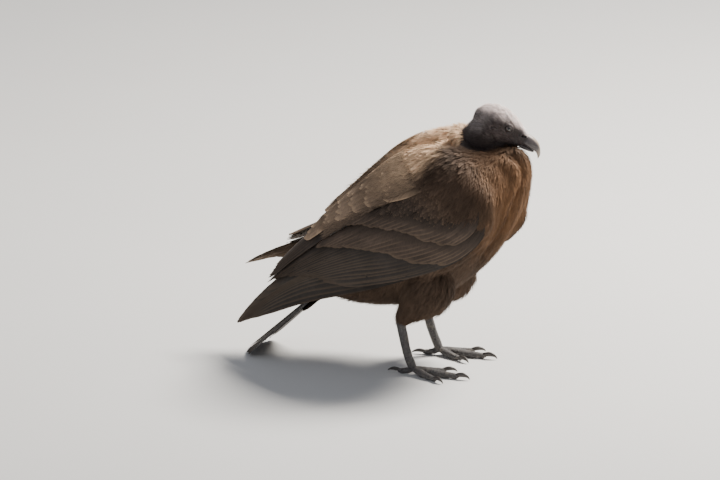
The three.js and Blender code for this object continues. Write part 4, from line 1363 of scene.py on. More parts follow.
    def surface(self, data):
        """The skin's face centres, normals and search tree in the body's axes."""
        mesh = bmesh_of(data)
        tree = BVHTree.FromBMesh(mesh)
        bmesh.ops.triangulate(mesh, faces=mesh.faces)
        mesh.normal_update()
        corners = np.array([[vert.co for vert in face.verts] for face in mesh.faces])
        centres = corners.mean(axis=1)
        normals = np.array([face.normal for face in mesh.faces])
        areas = np.array([face.calc_area() for face in mesh.faces])
        mesh.free()
        place, share, height = wing_place(centres)
        head = to_head(centres)
        near = self.nearness(head)
        root = root_line(np.clip(share, 0, 1))[0]
        on_arm = (place > root + 6) & (place < ARM_FRONT + 4) & (np.abs(share - 0.5) < 0.52)
        on_arm = on_arm & ((height > -16) | ((height > -34) & (place > 395)))
        hidden = (share > 0.01) & (share < 0.42) & (place < 292)
        under = (place < root + 10) & (place > -120) & (share > 0.02) & (share < 0.8) & (height < 4)
        line, _ = neck_line(np.linspace(0, 1, 12))
        neck_gap = np.min(np.linalg.norm(centres[:, None] - line[None], axis=2), axis=1)
        up, ahead = collar_axes()
        gap = centres - np.array(COLLAR["at"])
        over = gap @ up
        behind = np.clip(-(gap @ ahead) / np.maximum(np.linalg.norm(gap, axis=1), 1), 0, 1)
        downy = smoothstep(over + 14 - 26 * behind, -3, 3) * smoothstep(54 - neck_gap, 0, 4)
        near = np.maximum(near, downy)
        neck = (neck_gap < 78) & (over > -36) & (near < 0.4)
        thigh = (centres[:, 2] < 200) & (np.abs(centres[:, 1]) > 30) & (centres[:, 0] < 90) & ~under
        for side in SIDES.values():
            line, _ = thigh_line(side)(np.linspace(0.25, 1, 12))
            gap = np.min(np.linalg.norm(centres[:, None] - line[None], axis=2), axis=1)
            thigh = thigh | ((gap < 52) & (centres[:, 2] < 215))
        return {
            "tree": tree,
            "corners": corners,
            "areas": areas,
            "centres": centres,
            "normals": normals,
            "head": near,
            "neck": neck,
            "over": over,
            "arm": (on_arm & ~neck & ~hidden & (place < 356)) | far_hand(centres),
            "under": under | (on_arm & hidden),
            "thigh": thigh & ~on_arm & ~neck,
            "share": share,
            "place": place,
        }


def feather_sizes(**changes):
    """The sizes of the small feathers of the body, with changes for one part."""
    length, tips = plumage().feather_length * 1000, plumage().coat_depth * 1000 - 3.0
    sizes = dict(length=length, half=3.9, spacing=4.2, tips=tips, thick=0.5, cup=0.16)
    look = dict(turn=0.08, comb=0.14, rough=0.22, outline=blade_width, section=BODY_SECTION, steps=4)
    return {**sizes, **look, **changes}


def wisp_sizes(**changes):
    """The sizes of the loose wisps over the feathers, with changes for one part."""
    spacing, tips = plumage().wisp_spacing * 1000, plumage().coat_depth * 1000 - 1.0
    sizes = dict(length=24, half=0.72, spacing=spacing, tips=tips, thick=0.45, cup=0.0, base=1.2, tone=0.12)
    look = dict(turn=0.16, comb=0.2, rough=0.1, outline=wisp_width, section=WISP_SECTION, steps=3)
    return {**sizes, **look, **changes}


def trunk_parts(skin):
    """Which faces of the skin belong to the breast, the belly and the back."""
    trunk = ~(skin["arm"] | skin["under"] | skin["neck"] | skin["thigh"]) & (skin["head"] < 0.05)
    back = skin["centres"] @ DORSAL > 262
    ahead = skin["centres"] @ FORWARD > 230
    return trunk & ~back & ahead, trunk & ~back & ~ahead, trunk & back


class CONDOR_OT_body_feathers(Operator):
    """Lay the feathers of the back, the breast and the thighs on the skin"""

    bl_idname = "condor.body_feathers"
    bl_label = "Body feathers"

    def execute(self, context):
        look = plumage()
        skin = WORK["skin"]
        finish = vane_finish("Body feathers", rgb(look.fringe), 0.05, 0.1, 0.74, 0.2, 0.05)
        WORK["body_finish"] = finish
        breast, belly, back = trunk_parts(skin)
        crop = smoothstep(skin["centres"] @ FORWARD, 330, 440)
        length = look.feather_length * 1000 - 6 * crop
        smaller = feather_sizes(length=length, half=3.7 - 0.5 * crop, spacing=4.2 - 0.4 * crop)
        coat("breast_feathers", skin, breast, smaller, body_colour, finish, 31)
        coat("belly_feathers", skin, belly, feather_sizes(tips=7.0), body_colour, finish, 32)
        larger = feather_sizes(length=36, half=5.6, spacing=6.0, tips=8.5, cup=0.2, outline=feather_width)
        coat("back_feathers", skin, back, larger, body_colour, finish, 33)
        looser = feather_sizes(length=36, half=4.2, spacing=4.6, turn=0.14, rough=0.4, tips=8.0)
        for name, side in SIDES.items():
            one = skin["thigh"] & (skin["centres"][:, 1] * side > 0)
            coat(f"thigh_feathers_{name}", skin, one, looser, body_colour, finish, 35 + side)
        return {"FINISHED"}


class CONDOR_OT_ruff(Operator):
    """Lay the soft feathers of the neck and the ruff"""

    bl_idname = "condor.ruff"
    bl_label = "Ruff"

    def execute(self, context):
        skin = WORK["skin"]
        reach = smoothstep(skin["over"], 30, -20)
        behind = smoothstep(-skin["centres"][:, 0], -110, -60)
        sizes = feather_sizes(
            length=18 + 18 * reach,
            half=3.2 + 0.8 * reach,
            spacing=3.7 + 0.4 * reach,
            tips=6.5 + 6.5 * behind,
            turn=0.12,
            rough=0.3,
            curl=1.05,
        )
        finish = WORK["body_finish"]
        coat("ruff_feathers", skin, skin["neck"], sizes, body_colour, finish, 41, nodes=("ruff",))
        return {"FINISHED"}


class CONDOR_OT_wisps(Operator):
    """Lay loose wisps over the plumage of the body"""

    bl_idname = "condor.wisps"
    bl_label = "Wisps"

    def execute(self, context):
        look = plumage()
        skin = WORK["skin"]
        finish = vane_finish("Wisps", rgb(look.fringe), 0.06, 0.0, 0.8, 0.1, 0.05)
        breast, belly, back = trunk_parts(skin)
        behind = smoothstep(-skin["centres"][:, 0], -110, -60)
        near = wisp_sizes(length=20, spacing=2.3, tips=8.5 + 5.5 * behind, turn=0.2)
        loose = wisp_sizes(length=30, spacing=3.8, tips=11.0, turn=0.22)
        parts = (
            ("breast", breast, wisp_sizes()),
            ("belly", belly, wisp_sizes(spacing=3.8)),
            ("back", back, wisp_sizes(tips=10.0)),
            ("ruff", skin["neck"], near),
            ("thigh", skin["thigh"], loose),
        )
        for seed, (name, chosen, sizes) in enumerate(parts, 51):
            coat(f"{name}_wisps", skin, chosen, sizes, body_colour, finish, seed)
        return {"FINISHED"}


class CONDOR_OT_head_down(Operator):
    """Lay the short down on the head"""

    bl_idname = "condor.head_down"
    bl_label = "Head down"

    def execute(self, context):
        look = context.scene.condor_head
        skin = WORK["skin"]
        x, y, z = to_head(skin["centres"]).T
        eye = np.hypot((x - EYE["x"]) / 1.1, z - EYE["z"])
        ear = np.hypot(x + 30, z + 7)
        side = np.abs(y) > 14
        bare = side & ((eye < 9.3) | (ear < 4.0))
        chosen = (skin["head"] > 0.04) & (x < 43) & ~bare
        thin = np.maximum(smoothstep(x, 18, 43), side * fall(eye, 9, 15))
        front = smoothstep(x, -44, 20)
        low = smoothstep(-z, 30, 46) * fall(x, -30, 0)
        rear = np.maximum(fall(x, -66, -38), low)
        length = look.down_length * 1000
        sizes = wisp_sizes(
            length=(length + 2.5 + 8.5 * rear - 3.8 * front) * (1 - 0.5 * thin),
            half=0.34 + 0.16 * rear - 0.08 * front - 0.06 * thin,
            spacing=1.15 + 0.45 * rear + 0.9 * thin,
            tips=(1.7 + 4.0 * rear - 0.9 * front) * (1 - 0.6 * thin),
            thick=0.25,
            turn=0.2,
            base=-0.4,
        )
        # The down's pale fringe takes the crown's colour, which is partly painted highlight.
        finish = vane_finish("Head down", rgb(look.crown), 0.1, 0.0, 0.8, 0.1, 0.1)
        high = z > 2

        def colour(points):
            return head_colour(to_head(points)) * 1.12

        for name, part in (("crown_down", high), ("cheek_down", ~high)):
            part, seed = chosen & part, 61 + part[0]
            coat(name, skin, part, sizes, colour, finish, seed, head_lie, head_unwrap)
        return {"FINISHED"}


def feather_stations(count, feathers, draw, notches):
    """Stations of feathers from root to tip, with close ones for a split in the vane."""
    end = [0.925, 0.955, 0.98, 1.0] if count > 4 else [1.0]
    base = np.concatenate([np.linspace(0, 0.88 if count > 4 else 0.7, count), end])
    shares = np.broadcast_to(base, (feathers, len(base)))
    if not notches:
        return shares, np.ones(shares.shape + (2,))
    split = draw.uniform(0.45, 0.86, (feathers, 1))
    near = split + np.array([[-0.013, 0.0, 0.008]])
    shares = np.concatenate([shares, near], axis=1)
    edges = np.ones(shares.shape + (2,))
    depth = np.where(draw.random(feathers) < 0.45, draw.uniform(0.12, 0.4, feathers), 0)
    which = draw.integers(0, 2, feathers)
    edges[np.arange(feathers), -2, which] -= depth
    order = np.argsort(shares, axis=1)
    return np.take_along_axis(shares, order, 1), np.take_along_axis(edges, order[..., None], 1)


def vane_edges(section, edges):
    """How far each point of a section reaches where the vane is split, by its side."""
    right = np.where(section[:, 0] > 0.9, edges[..., 1:], 1.0)
    return np.where(section[:, 0] < -0.9, edges[..., :1], right)


def wing_vanes(name, side, roots, tips, heights, shape, seed, colour, options):
    """A row of long feathers on the folded wing. `shape` is half width, thickness, tilt and sink."""
    half, thick, tilt, sink = shape
    draw = np.random.default_rng(seed)
    count = len(roots)
    shares, edges = feather_stations(options["stations"], count, draw, options["notches"])
    place = lerp(roots[:, :1], tips[:, :1], shares)
    share = lerp(roots[:, 1:], tips[:, 1:], shares)
    _, depth, width = wrap_shape(place)
    narrow = np.minimum(1, (depth + width) / 300) if options["narrows"] else 1.0
    reach = half * options.get("outline", feather_width)(shares)[0] * narrow
    section = options["section"]
    across = section[:, 0] + options["shaft"] * (1 - np.abs(section[:, 0]))
    out = reach[..., None] * across * vane_edges(section, edges)
    lift = heights[:, None] - sink * (1 - np.minimum(1, shares / 0.3)) ** 2
    fade = (1 - 0.7 * shares)[..., None]
    rib = np.where(section[:, 1] > 1.5, 1.5, section[:, 1])
    raised = thick / 2 * rib * fade - options["cup"] * reach[..., None] * across**2 + tilt * across
    raised = raised + lift[..., None]
    first, last = np.radians(wing_edges(place))
    reached = share[..., None] + (2 * out) / ((depth + width) * (last - first))[..., None]
    raised = raised - 9 * smoothstep((0.08 if side > 0 else 0.15) - reached, 0, 0.16)
    grid = np.broadcast_to(place[..., None], out.shape)
    verts = wing_at(grid, np.broadcast_to(share[..., None], out.shape), out, raised, side)
    if side > 0:
        verts = verts[:, :, ::-1]
        section = section[::-1]
    middle = verts.mean(axis=2)
    colours = colour(middle, share) * draw.normal(1, 0.07, (count, 1, 1))
    lengths = (roots[:, 0] - tips[:, 0]) * 0.01
    spots = np.stack([0.08 + 0.84 * np.clip(roots[:, 1], 0, 1), (roots[:, 0] + 60) / 520], -1)
    spots = spots + np.stack([np.zeros(count), np.arange(count) * 0.0042], -1)
    return vanes(name, verts, section, shares, lengths, colours, spots, seed)


def joined(name, parts):
    """Several meshes as one."""
    objects = [linked(name, part) for part in parts]
    with bpy.context.temp_override(active_object=objects[0], selected_editable_objects=objects):
        bpy.ops.object.join()
    data = objects[0].data
    bpy.data.objects.remove(objects[0])
    data.name = name
    return data


class CONDOR_OT_wings(Operator):
    """Lay the flight feathers, coverts and scapulars of both wings"""

    bl_idname = "condor.wings"
    bl_label = "Wings"

    def execute(self, context):
        look = plumage()
        flight = vane_finish("Flight feathers", rgb(look.fringe) * 0.5, 0.3, 0.5, 0.8, 0.14, 0.04, 0.55)
        covert = vane_finish("Coverts", rgb(look.fringe) * 0.8, 0.25, 0.4, 0.55, 0.16, 0.05, 0.62)
        edged = vane_finish("Scapulars", rgb(look.fringe) * 1.7, 0.4, 0.5, 0.45, 0.2, 0.05, 0.66)
        WORK["flight_finish"] = flight
        for name, side in SIDES.items():
            self.build_side(look, name, side, flight, covert, edged)
        return {"FINISHED"}

    def build_side(self, look, name, side, flight, covert, edged):
        """One wing."""
        seed = 70 if side > 0 else 80
        fine = dict(stations=20, notches=True, narrows=False, section=FLIGHT_SECTION, shaft=-0.3, cup=0.05)
        short = {**fine, "stations": 9, "notches": False, "narrows": True, "shaft": -0.1, "cup": 0.12}

        def flight_colour(points, share):
            base = everywhere(look.flight, points)
            brown = smoothstep(share, 0.5, 0.2) * 0.6
            colour = blend_colours(base, rgb(look.coverts), brown)
            # Painted sunlight: the far wing's flight feathers towards the tail are made paler, as if lit.
            far_wing_sunlight = (side > 0) * smoothstep(-(points @ FORWARD), -20, 120)
            colour = blend_colours(colour, rgb(look.mantle_low), 0.6 * far_wing_sunlight)
            return colour * (1 + 0.15 * mottle(points, 60, 5))[..., None]

        def covert_colour(points, share):
            return wing_colour(points, share, 0.75)

        def mantle_colour(points, share):
            return lerp(wing_colour(points, share, 1.0), mantle_at(points @ FORWARD), 0.3)

        count = 10
        order = np.arange(count)
        tips = np.stack((primary_tips if side < 0 else far_primary_tips)(order), -1)
        roots = np.stack([320 - 9.4 * order, 0.84 + 0.0055 * order], -1)
        heights = -11.5 - 1.3 * order
        shape = (17 if side < 0 else 13, 1.1, 0.4, 0)
        parts = [wing_vanes("primaries", side, roots, tips, heights, shape, seed, flight_colour, fine)]
        coverts, shoulder = [], []
        for n, row in enumerate(WING_ROWS):
            row_name, count, *ends, height, _, _, _, _ = row
            k = np.linspace(0, 1, count)[:, None]
            inner = [(place, share + (0.075 if side < 0 and share < 0.12 else 0)) for place, share in ends]
            roots = lerp(np.array(inner[0]), np.array(inner[1]), k)
            tips = lerp(np.array(inner[2]), np.array(inner[3]), k)
            draw = np.random.default_rng(seed + n)
            scapular = "scapulars" in row_name
            loose = 2.0 if scapular else 1.0
            tips = tips + draw.normal(0, [3.0 * loose, 0.005 * loose], tips.shape)
            roots = roots + draw.normal(0, [3.0 * loose - 3.0, 0.002], roots.shape)
            heights = np.full(count, float(height))
            long = row_name in ("secondaries", "tertials")
            options = {**fine, "narrows": True} if long else short
            paint = flight_colour if long else covert_colour
            if scapular:
                paint = mantle_colour
                options = {**short, "cup": 0.22}
            data = wing_vanes(row_name, side, roots, tips, heights, row[-4:], seed + n + 1, paint, options)
            (parts if long else shoulder if scapular else coverts).append(data)
        draw = np.random.default_rng(seed + 30)
        spread = int(24000 / (look.wisp_spacing * 1000) ** 2)
        lowest = 0.0 if side > 0 else 0.09
        roots = np.stack([draw.uniform(70, 322, spread), draw.uniform(lowest, 0.42, spread)], -1)
        tips = roots + draw.normal([-22, -0.012], [4, 0.012], (spread, 2))
        heights = 6.5 + 7.5 * smoothstep(roots[:, 0], 90, 300) + draw.uniform(0, 1.4, spread)
        tiny = dict(stations=3, section=WISP_SECTION, cup=0.0, narrows=False, outline=wisp_width)
        tiny = {**short, **tiny}
        shape = (0.75, 0.4, 0, 0.8)
        loose = wing_vanes("mantle_wisps", side, roots, tips, heights, shape, seed + 31, mantle_colour, tiny)
        node = f"wing_{name}"
        piece(f"mantle_wisps_{name}", loose, covert, [node])
        kinds = ("flight_feathers", "coverts", "scapulars")
        for kind, made, finish in zip(kinds, (parts, coverts, shoulder), (flight, covert, edged)):
            label = f"{kind}_{name}"
            piece(label, joined(label, made), finish, [node])
        skin = WORK["skin"]
        chosen = skin["arm"] & (skin["centres"][:, 1] * side > 0) & (skin["head"] < 0.05)
        front = smoothstep(skin["place"], 330, 415)
        upper = fall(skin["share"], 0.25, 0.6)
        sizes = feather_sizes(
            length=26 + 12 * upper - 8 * front,
            half=6.0 + 2.0 * upper - 1.8 * front,
            spacing=5.8 + 1.6 * upper - 1.6 * front,
            tips=5.0 + 5.0 * upper * smoothstep(skin["place"], 180, 300),
            turn=0.05,
            comb=0.07,
            rough=0.14,
            outline=feather_width,
        )

        def shoulder_colour(points):
            place, share, _ = wing_place(points)
            colour = wing_colour(points, share, 1.0)
            ahead = smoothstep(place, 285, 350)
            return colour + (body_colour(points) - colour) * ahead[..., None]

        wisps = wisp_sizes(length=16 + 8 * upper, half=0.6, spacing=3.1, tips=6.0 + 5.5 * upper, base=1.0)
        for kind, part, key in (("lesser_coverts", sizes, seed + 9), ("shoulder_wisps", wisps, seed + 8)):
            label = f"{kind}_{name}"
            coat(label, skin, chosen, part, shoulder_colour, covert, key, nodes=[node])


class CONDOR_OT_tail(Operator):
    """Lay the tail feathers and their coverts"""

    bl_idname = "condor.tail"
    bl_label = "Tail"

    def execute(self, context):
        look = plumage()
        data = joined("tail_feathers", [self.row(look, n, *row) for n, row in enumerate(TAIL_ROWS)])
        piece("tail_feathers", data, WORK["flight_finish"], ["tail"])
        mesh = bmesh.new()

        def stump(u, v, outside):
            place = -46 + 78 * u
            reach = lerp(4, 14, smoothstep(place, -45, -15)) * (1 - 3.2 * (v - 0.5) ** 2)
            return tail_at(place, (v - 0.5) * 2 * TAIL["root_half"], np.where(outside, reach, -reach))

        slab(mesh, stump, 14, 18)
        data = shape_from(mesh, "tail_root")
        set_tint(data, body_colour(from_frame(mesh_points(data))))
        piece("tail_root", data, skin_finish(), ["tail"])
        return {"FINISHED"}

    def row(self, look, number, count, side, root, tip, shorter, spread, height, lean, half):
        """One row of feathers across the tail."""
        draw = np.random.default_rng(90 + number)
        shares, edges = feather_stations(18 if number == 0 else 8, count, draw, number == 0)
        fan = (np.arange(count) + 0.5) / count * 2 - 1
        central = np.abs(fan) < 1.2 / count
        lift = height + side * np.where(central, np.where(fan > 0, 4.4, 2.2), 0)
        tips = tip + shorter * fan**2 + draw.uniform(0, 3, count)
        along = lerp(root, tips[:, None], shares)
        t = (TAIL["root"] - along) / (TAIL["root"] - TAIL["tip"])
        centre = fan[:, None] * spread * lerp(TAIL["root_half"], TAIL["tip_half"], t)
        section = FLIGHT_SECTION
        shaft = 0.25 * np.sign(fan)[:, None, None] * ~central[:, None, None]
        place = section[:, 0] + shaft * (1 - np.abs(section[:, 0]))
        reach = half * feather_width(shares)[0]
        out = reach[..., None] * place * vane_edges(section, edges)
        inward = np.where(central, 0, side * np.sign(fan) * lean)
        fade = (1 - 0.7 * shares)[..., None]
        up = lift[:, None, None] + 0.6 * section[:, 1] * fade + inward[:, None, None] * place
        up = up - 0.04 * reach[..., None] * place**2
        verts = tail_at(along[..., None] + 0 * out, centre[..., None] + out, up)
        verts = verts[:, :, ::-1]
        verts[..., 2] = np.maximum(verts[..., 2], 0.2)
        base = np.broadcast_to(rgb(look.flight), (count, shares.shape[1], 3))
        if number:
            base = lerp(base, rgb(look.coverts if side > 0 else look.belly), 0.8)
        colours = base * draw.normal(1, 0.06, (count, 1, 1))
        spots = np.stack([0.5 + 0.45 * fan, np.full(count, 0.2 + 0.3 * number)], -1)
        lengths = (root - tips) * 0.01
        return vanes("tail_row", verts, section[::-1], shares, lengths, colours, spots, 90 + number)


class CONDOR_OT_eyes(Operator):
    """Build the eyes and their lids"""

    bl_idname = "condor.eyes"
    bl_label = "Eyes"

    def execute(self, context):
        finish = eye_finish()
        lid_finish = skin_finish()
        for name, side in SIDES.items():
            self.ball(name, side, finish)
            self.lids(name, side, lid_finish)
        return {"FINISHED"}

    def ball(self, name, side, finish):
        """One eyeball with its cornea."""
        axis = unit(np.array([0.12, side, 0.02]))
        mesh = bmesh.new()
        made = bmesh.ops.create_uvsphere(mesh, u_segments=48, v_segments=36, radius=1.0)["verts"]
        turn = Vector((0, 0, 1)).rotation_difference(Vector(axis)).to_matrix()
        away, angles = [], []
        for vert in made:
            away.append(math.acos(max(-1.0, min(1.0, vert.co.z))) / (math.pi / 2))
            angles.append(math.atan2(vert.co.y, vert.co.x))
            bulge = 0.55 * math.exp(-((away[-1] / 0.42) ** 2))
            local = np.array(turn @ vert.co) * (EYE["radius"] - 0.15 + bulge)
            vert.co = from_head(local + [EYE["x"], side * EYE["y"], EYE["z"]])
        data = shape_from(mesh, f"eyeball_{name}")
        set_values(data, "Away", away)
        set_values(data, "Turn", np.abs(angles))
        piece(f"eyeball_{name}", data, finish, [f"eye_{name}"])

    def lids(self, name, side, finish):
        """The lids round one eye, as a closed ring that rests on the eyeball."""
        mesh = bmesh.new()
        reach = 3
        for vert in ring_tube(mesh, 16, 1.0, reach, 72):
            x, y, z = vert.co
            turn = math.atan2(y, x)
            tube = math.atan2(z, math.hypot(x, y) - reach)
            vert.co = from_head(self.lid_point(turn, tube, side))
        data = shape_from(mesh, f"eyelids_{name}")
        set_tint(data, head_colour(to_head(from_frame(mesh_points(data)))) * 0.55)
        piece(f"eyelids_{name}", data, finish)

    def lid_point(self, turn, tube, side):
        """A point of the lids by its turn round the eye and round the lid's edge."""
        upper = math.sin(turn)
        tilt = 0.5 * math.cos(turn)
        inner = np.array([5.7 * math.cos(turn), (3.6 if upper > 0 else 4.3) * upper - tilt])
        outer = np.array([9.6 * math.cos(turn), 8.0 * upper])
        share = 0.5 + 0.5 * math.cos(tube)
        flat = inner + (outer - inner) * share
        gap = min(np.hypot(*flat), EYE["radius"] - 0.2)
        on_ball = EYE["y"] + math.sqrt(EYE["radius"] ** 2 - gap**2)
        skin = 29.7 - 0.012 * flat[0] ** 2 - 0.13 * flat[0]
        base = on_ball + (skin - on_ball) * smoothstep(share, 0.45, 1.0)
        ridge = 0.12 * math.sin(turn * 17) * share
        if math.sin(tube) > 0:
            lift = 0.2 + (1.0 if upper > 0 else 0.7) * math.sin(tube) * (1 - 0.5 * share) + ridge
        else:
            lift = -0.4 + 1.2 * math.sin(tube)
        return np.array([EYE["x"] + flat[0], side * (base + lift), EYE["z"] + flat[1]])


class CONDOR_OT_bill(Operator):
    """Build the upper and lower horn of the bill"""

    bl_idname = "condor.bill"
    bl_label = "Bill"

    def execute(self, context):
        look = context.scene.condor_head
        finish = horn_finish("Bill horn", rgb(look.bill_dark), rgb(look.bill_pale), 0.38)
        upper = self.horn(upper_horn, 40, 94, "upper_horn", True)
        lower = self.horn(lower_horn, 40, 78, "lower_horn", False)
        for data, node in ((upper, "bill_upper"), (lower, "bill_lower")):
            head = to_head(from_frame(mesh_points(data)))
            _, top, _ = upper_horn(head[:, 0])
            # Painted highlight: a pale band along the top ridge of the bill.
            culmen_highlight = smoothstep(head[:, 2] - top, -5, -0.5)
            colour = blend_colours(everywhere(look.bill_dark, head), rgb(look.bill_tip) * 1.5, culmen_highlight)
            hook = smoothstep(head[:, 0] - 0.4 * (head[:, 2] + 14), 76, 88)
            colour = blend_colours(colour, rgb(look.bill_tip), hook)
            set_tint(data, colour * 1.2)
            piece(data.name, data, finish, [node])
        return {"FINISHED"}

    def horn(self, shape, rear, front, name, upper):
        """One horn, with a ridge above and a cutting edge."""

        def at(t, angle):
            along = (rear + front) / 2 - (front - rear) / 2 * np.cos(t * math.pi)
            opened = cap(t, 0.45)
            width, top, bottom = shape(along)
            sine, cosine = np.sin(angle), np.cos(angle)
            ridge, sole = (1.15, 0.3) if upper else (0.22, 0.9)
            flat = np.where(cosine > 0, np.abs(cosine) ** ridge, -(np.abs(cosine) ** sole))
            wide = np.sign(sine) * np.abs(sine) ** 0.9 * (1 - 0.1 * np.maximum(0, cosine))
            ring = 0.12 * np.sin(along * 1.1) * smoothstep(along, 60, 50)
            height = np.where((cosine > 0) == upper, opened, opened**0.2)
            z = (top + bottom + flat * (top - bottom) * height) / 2 + (0 if upper else 0.7)
            return from_head(np.stack([along, wide * (width + ring) * opened, z], -1))

        mesh = bmesh.new()
        ringed(mesh, at, 64, 56)
        return shape_from(mesh, name)


def keel_claw(line, thick):
    """A function for a curved claw, ridged above and flat below."""
    sizes = through([(0, thick, thick), (0.5, thick * 0.85, thick), (1, 1.1, 1.3)])

    def at(t, angle):
        share = (1 - np.cos(t * math.pi)) / 2
        width, depth = sizes(share) * cap(t, 0.35)
        squash = 1 - 0.16 * smoothstep(-np.cos(angle), 0.2, 1)
        return round_line(line, share, angle, width * (0.94 + 0.06 * np.cos(2 * angle)), depth * squash)

    return at


class CONDOR_OT_feet(Operator):
    """Build the scaly legs, the toes and the claws"""

    bl_idname = "condor.feet"
    bl_label = "Feet"

    def execute(self, context):
        look = context.scene.condor_feet
        finish = scale_finish()
        claw_finish = horn_finish("Claw horn", rgb(look.claw_dark), rgb(look.claw_pale), 0.36)
        for name, side in SIDES.items():
            self.leg(name, side, finish)
            self.claws(name, side, claw_finish, look)
        return {"FINISHED"}

    def leg(self, name, side, finish):
        """One leg with its toes."""
        mesh = bmesh.new()
        ringed(mesh, limb_at(shank_line(side), shank_sizes, 0.3), 40, 24)
        for toe in TOES:
            radius = toe[3]
            wide = ((0, 1), (0.5, 0.92), (1, 0.72))
            sizes = through([(t, part * radius, part * radius) for t, part in wide])
            ringed(mesh, limb_at(toe_line(toe, side), sizes, 0.4), 30, 20)
        data = remeshed(shape_from(mesh, "leg"), 0.0012)
        mesh = bmesh_of(data, False)
        largest_part(mesh)
        soften(mesh, mesh.verts, 4)
        mesh.to_mesh(data)
        mesh.free()
        data.name = f"foot_{name}"
        points = from_frame(mesh_points(data))
        normals = mesh_points(data, "normal")
        relief = np.zeros(len(points))
        for toe in TOES:
            turn = -side * math.radians(toe[2])
            way = np.array([math.cos(turn), math.sin(turn), 0])
            gap = points - np.array([FOOT_AT[0], side * FOOT_AT[1], 0])
            out = gap @ way
            beside = np.abs(gap @ np.array([-way[1], way[0], 0]))
            on_toe = (out > 10) & (beside < toe[3] * 1.1) & (out < toe[1] + 4)
            step = (out / 5.2) % 1.0
            scute = 0.75 * (1 - step) * smoothstep(step, 0, 0.14)
            above = smoothstep(normals[:, 2], 0.15, 0.6)
            pad = 0.9 * np.sin(out / 3.6) * smoothstep(-normals[:, 2], 0.0, 0.7)
            relief = np.where(on_toe, scute * above + pad, relief)
        shank = smoothstep(points[:, 2], 24, 34)
        step = (points[:, 2] / 5.6) % 1.0
        front = smoothstep(normals[:, 0], 0.1, 0.7)
        relief += 0.5 * shank * front * (1 - step) * smoothstep(step, 0, 0.15)
        relief += 0.25 * mottle(points, 6, 34)
        points = points + normals * relief[:, None]
        points[:, 2] = np.maximum(points[:, 2], 0.0)
        set_points(data, to_frame(points))
        data.polygons.foreach_set("use_smooth", np.ones(len(data.polygons), bool))
        piece(f"foot_{name}", data, finish, [f"leg_{name}"])

    def claws(self, name, side, finish, look):
        """The four claws of one foot."""
        mesh = bmesh.new()
        for toe in TOES:
            _, length, _, radius = toe
            out = (-9, CLAW_LENGTH * 0.35, CLAW_LENGTH * 0.8, CLAW_LENGTH)
            heights = (radius - 1, radius + 1, radius - 2, 2.2)
            line = smooth_line([toe_point(toe, side, length + far, z) for far, z in zip(out, heights)])
            ringed(mesh, keel_claw(line, radius * 0.55), 34, 24)
        data = shape_from(mesh, f"claws_{name}")
        points = from_frame(mesh_points(data))
        set_tint(data, lerp(everywhere(look.claw_dark, points), rgb(look.claw_pale), 0.4))
        nodes = [f"claw_{toe[0]}_{name}" for toe in TOES]
        piece(f"claws_{name}", data, finish, nodes)


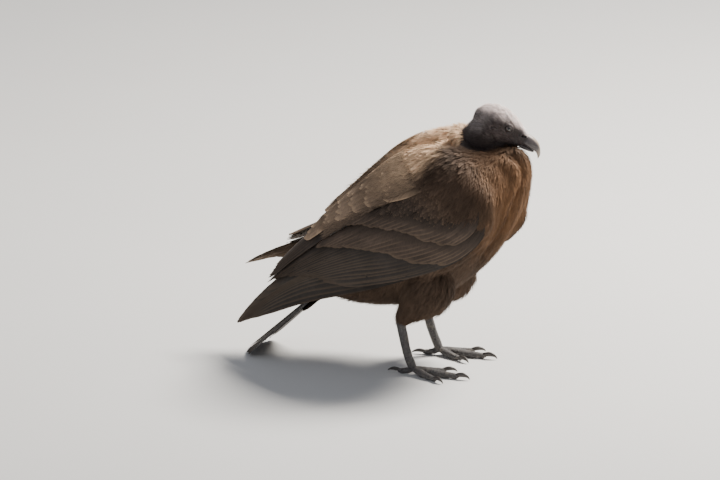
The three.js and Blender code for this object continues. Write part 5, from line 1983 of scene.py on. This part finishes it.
class CONDOR_OT_stage(Operator):
    """Lay the floor and set the lights and the camera"""

    bl_idname = "condor.stage"
    bl_label = "Stage"

    def execute(self, context):
        look = context.scene.condor_stage
        mesh = bmesh.new()
        bmesh.ops.create_grid(mesh, x_segments=8, y_segments=8, size=30)
        data = bpy.data.meshes.new("studio_floor")
        mesh.to_mesh(data)
        mesh.free()
        data.materials.append(floor_finish())
        floor = linked("studio_floor", data)
        floor.location.z = -0.0002
        middle = Vector(to_frame([60, 0, 300]))
        self.light("key", middle, Vector((1.6, 2.2, 3.4)), 1.6, look.key_power, (1.0, 0.95, 0.88))
        self.light("fill", middle, Vector((-1.2, -3.2, 1.6)), 3.0, look.fill_power, (0.93, 0.96, 1.0))
        world = bpy.data.worlds.new("studio")
        world.use_nodes = True
        back = world.node_tree.nodes["Background"]
        back.inputs["Color"].default_value = (0.86, 0.9, 1.0, 1)
        back.inputs["Strength"].default_value = 0.28
        context.scene.world = world
        self.camera(context, look)
        return {"FINISHED"}

    def light(self, name, target, away, size, power, colour):
        """A soft square light turned to the bird."""
        lamp = bpy.data.lights.new(name, "AREA")
        lamp.energy = power
        lamp.size = size
        lamp.color = colour
        self.aim(linked(name, lamp), target + away, -away)

    def aim(self, made, place, way):
        """Puts a light or a camera at a place and turns it."""
        made.location = place
        made.rotation_euler = way.to_track_quat("-Z", "Y").to_euler()

    def camera(self, context, look):
        """A long lens at the photograph's angle and framing."""
        azimuth, elevation = look.azimuth, look.elevation
        level = math.cos(elevation)
        back = Vector((math.sin(azimuth) * level, -math.cos(azimuth) * level, math.sin(elevation)))
        right = Vector((math.cos(azimuth), math.sin(azimuth), 0))
        over = back.cross(right)
        target = right * -0.1505 + over * 0.26875 + Vector(OFFSET) * 0.001
        data = bpy.data.cameras.new("camera")
        data.lens = look.focal_length
        data.sensor_width = 36
        data.clip_end = 100
        made = linked("camera", data)
        self.aim(made, target + back * look.distance, -back)
        context.scene.camera = made


STEPS = (
    CONDOR_OT_stage,
    CONDOR_OT_skin,
    CONDOR_OT_body_feathers,
    CONDOR_OT_ruff,
    CONDOR_OT_wisps,
    CONDOR_OT_head_down,
    CONDOR_OT_wings,
    CONDOR_OT_tail,
    CONDOR_OT_eyes,
    CONDOR_OT_bill,
    CONDOR_OT_feet,
)
GROUPS = {
    "condor_plumage": CondorPlumage,
    "condor_head": CondorHead,
    "condor_feet": CondorFeet,
    "condor_stage": CondorStage,
}


class CONDOR_PT_panel(Panel):
    """The steps and settings of the condor"""

    bl_label = "Condor"
    bl_idname = "CONDOR_PT_panel"
    bl_space_type = "VIEW_3D"
    bl_region_type = "UI"
    bl_category = "Condor"

    def draw(self, context):
        for step in STEPS:
            self.layout.operator(step.bl_idname)
        for name, group in GROUPS.items():
            box = self.layout.box()
            for key in group.__annotations__:
                box.prop(getattr(context.scene, name), key)


def register():
    """Registers the settings, the steps and the panel."""
    for name, group in GROUPS.items():
        bpy.utils.register_class(group)
        setattr(bpy.types.Scene, name, PointerProperty(type=group))
    for step in (*STEPS, CONDOR_PT_panel):
        bpy.utils.register_class(step)


def unregister():
    """Removes the panel, the steps and the settings."""
    for step in reversed((*STEPS, CONDOR_PT_panel)):
        bpy.utils.unregister_class(step)
    for name, group in reversed(GROUPS.items()):
        delattr(bpy.types.Scene, name)
        bpy.utils.unregister_class(group)


def main():
    """Builds every piece."""
    register()
    for step in STEPS:
        family, action = step.bl_idname.split(".")
        getattr(getattr(bpy.ops, family), action)()


if __name__ == "__main__":
    main()
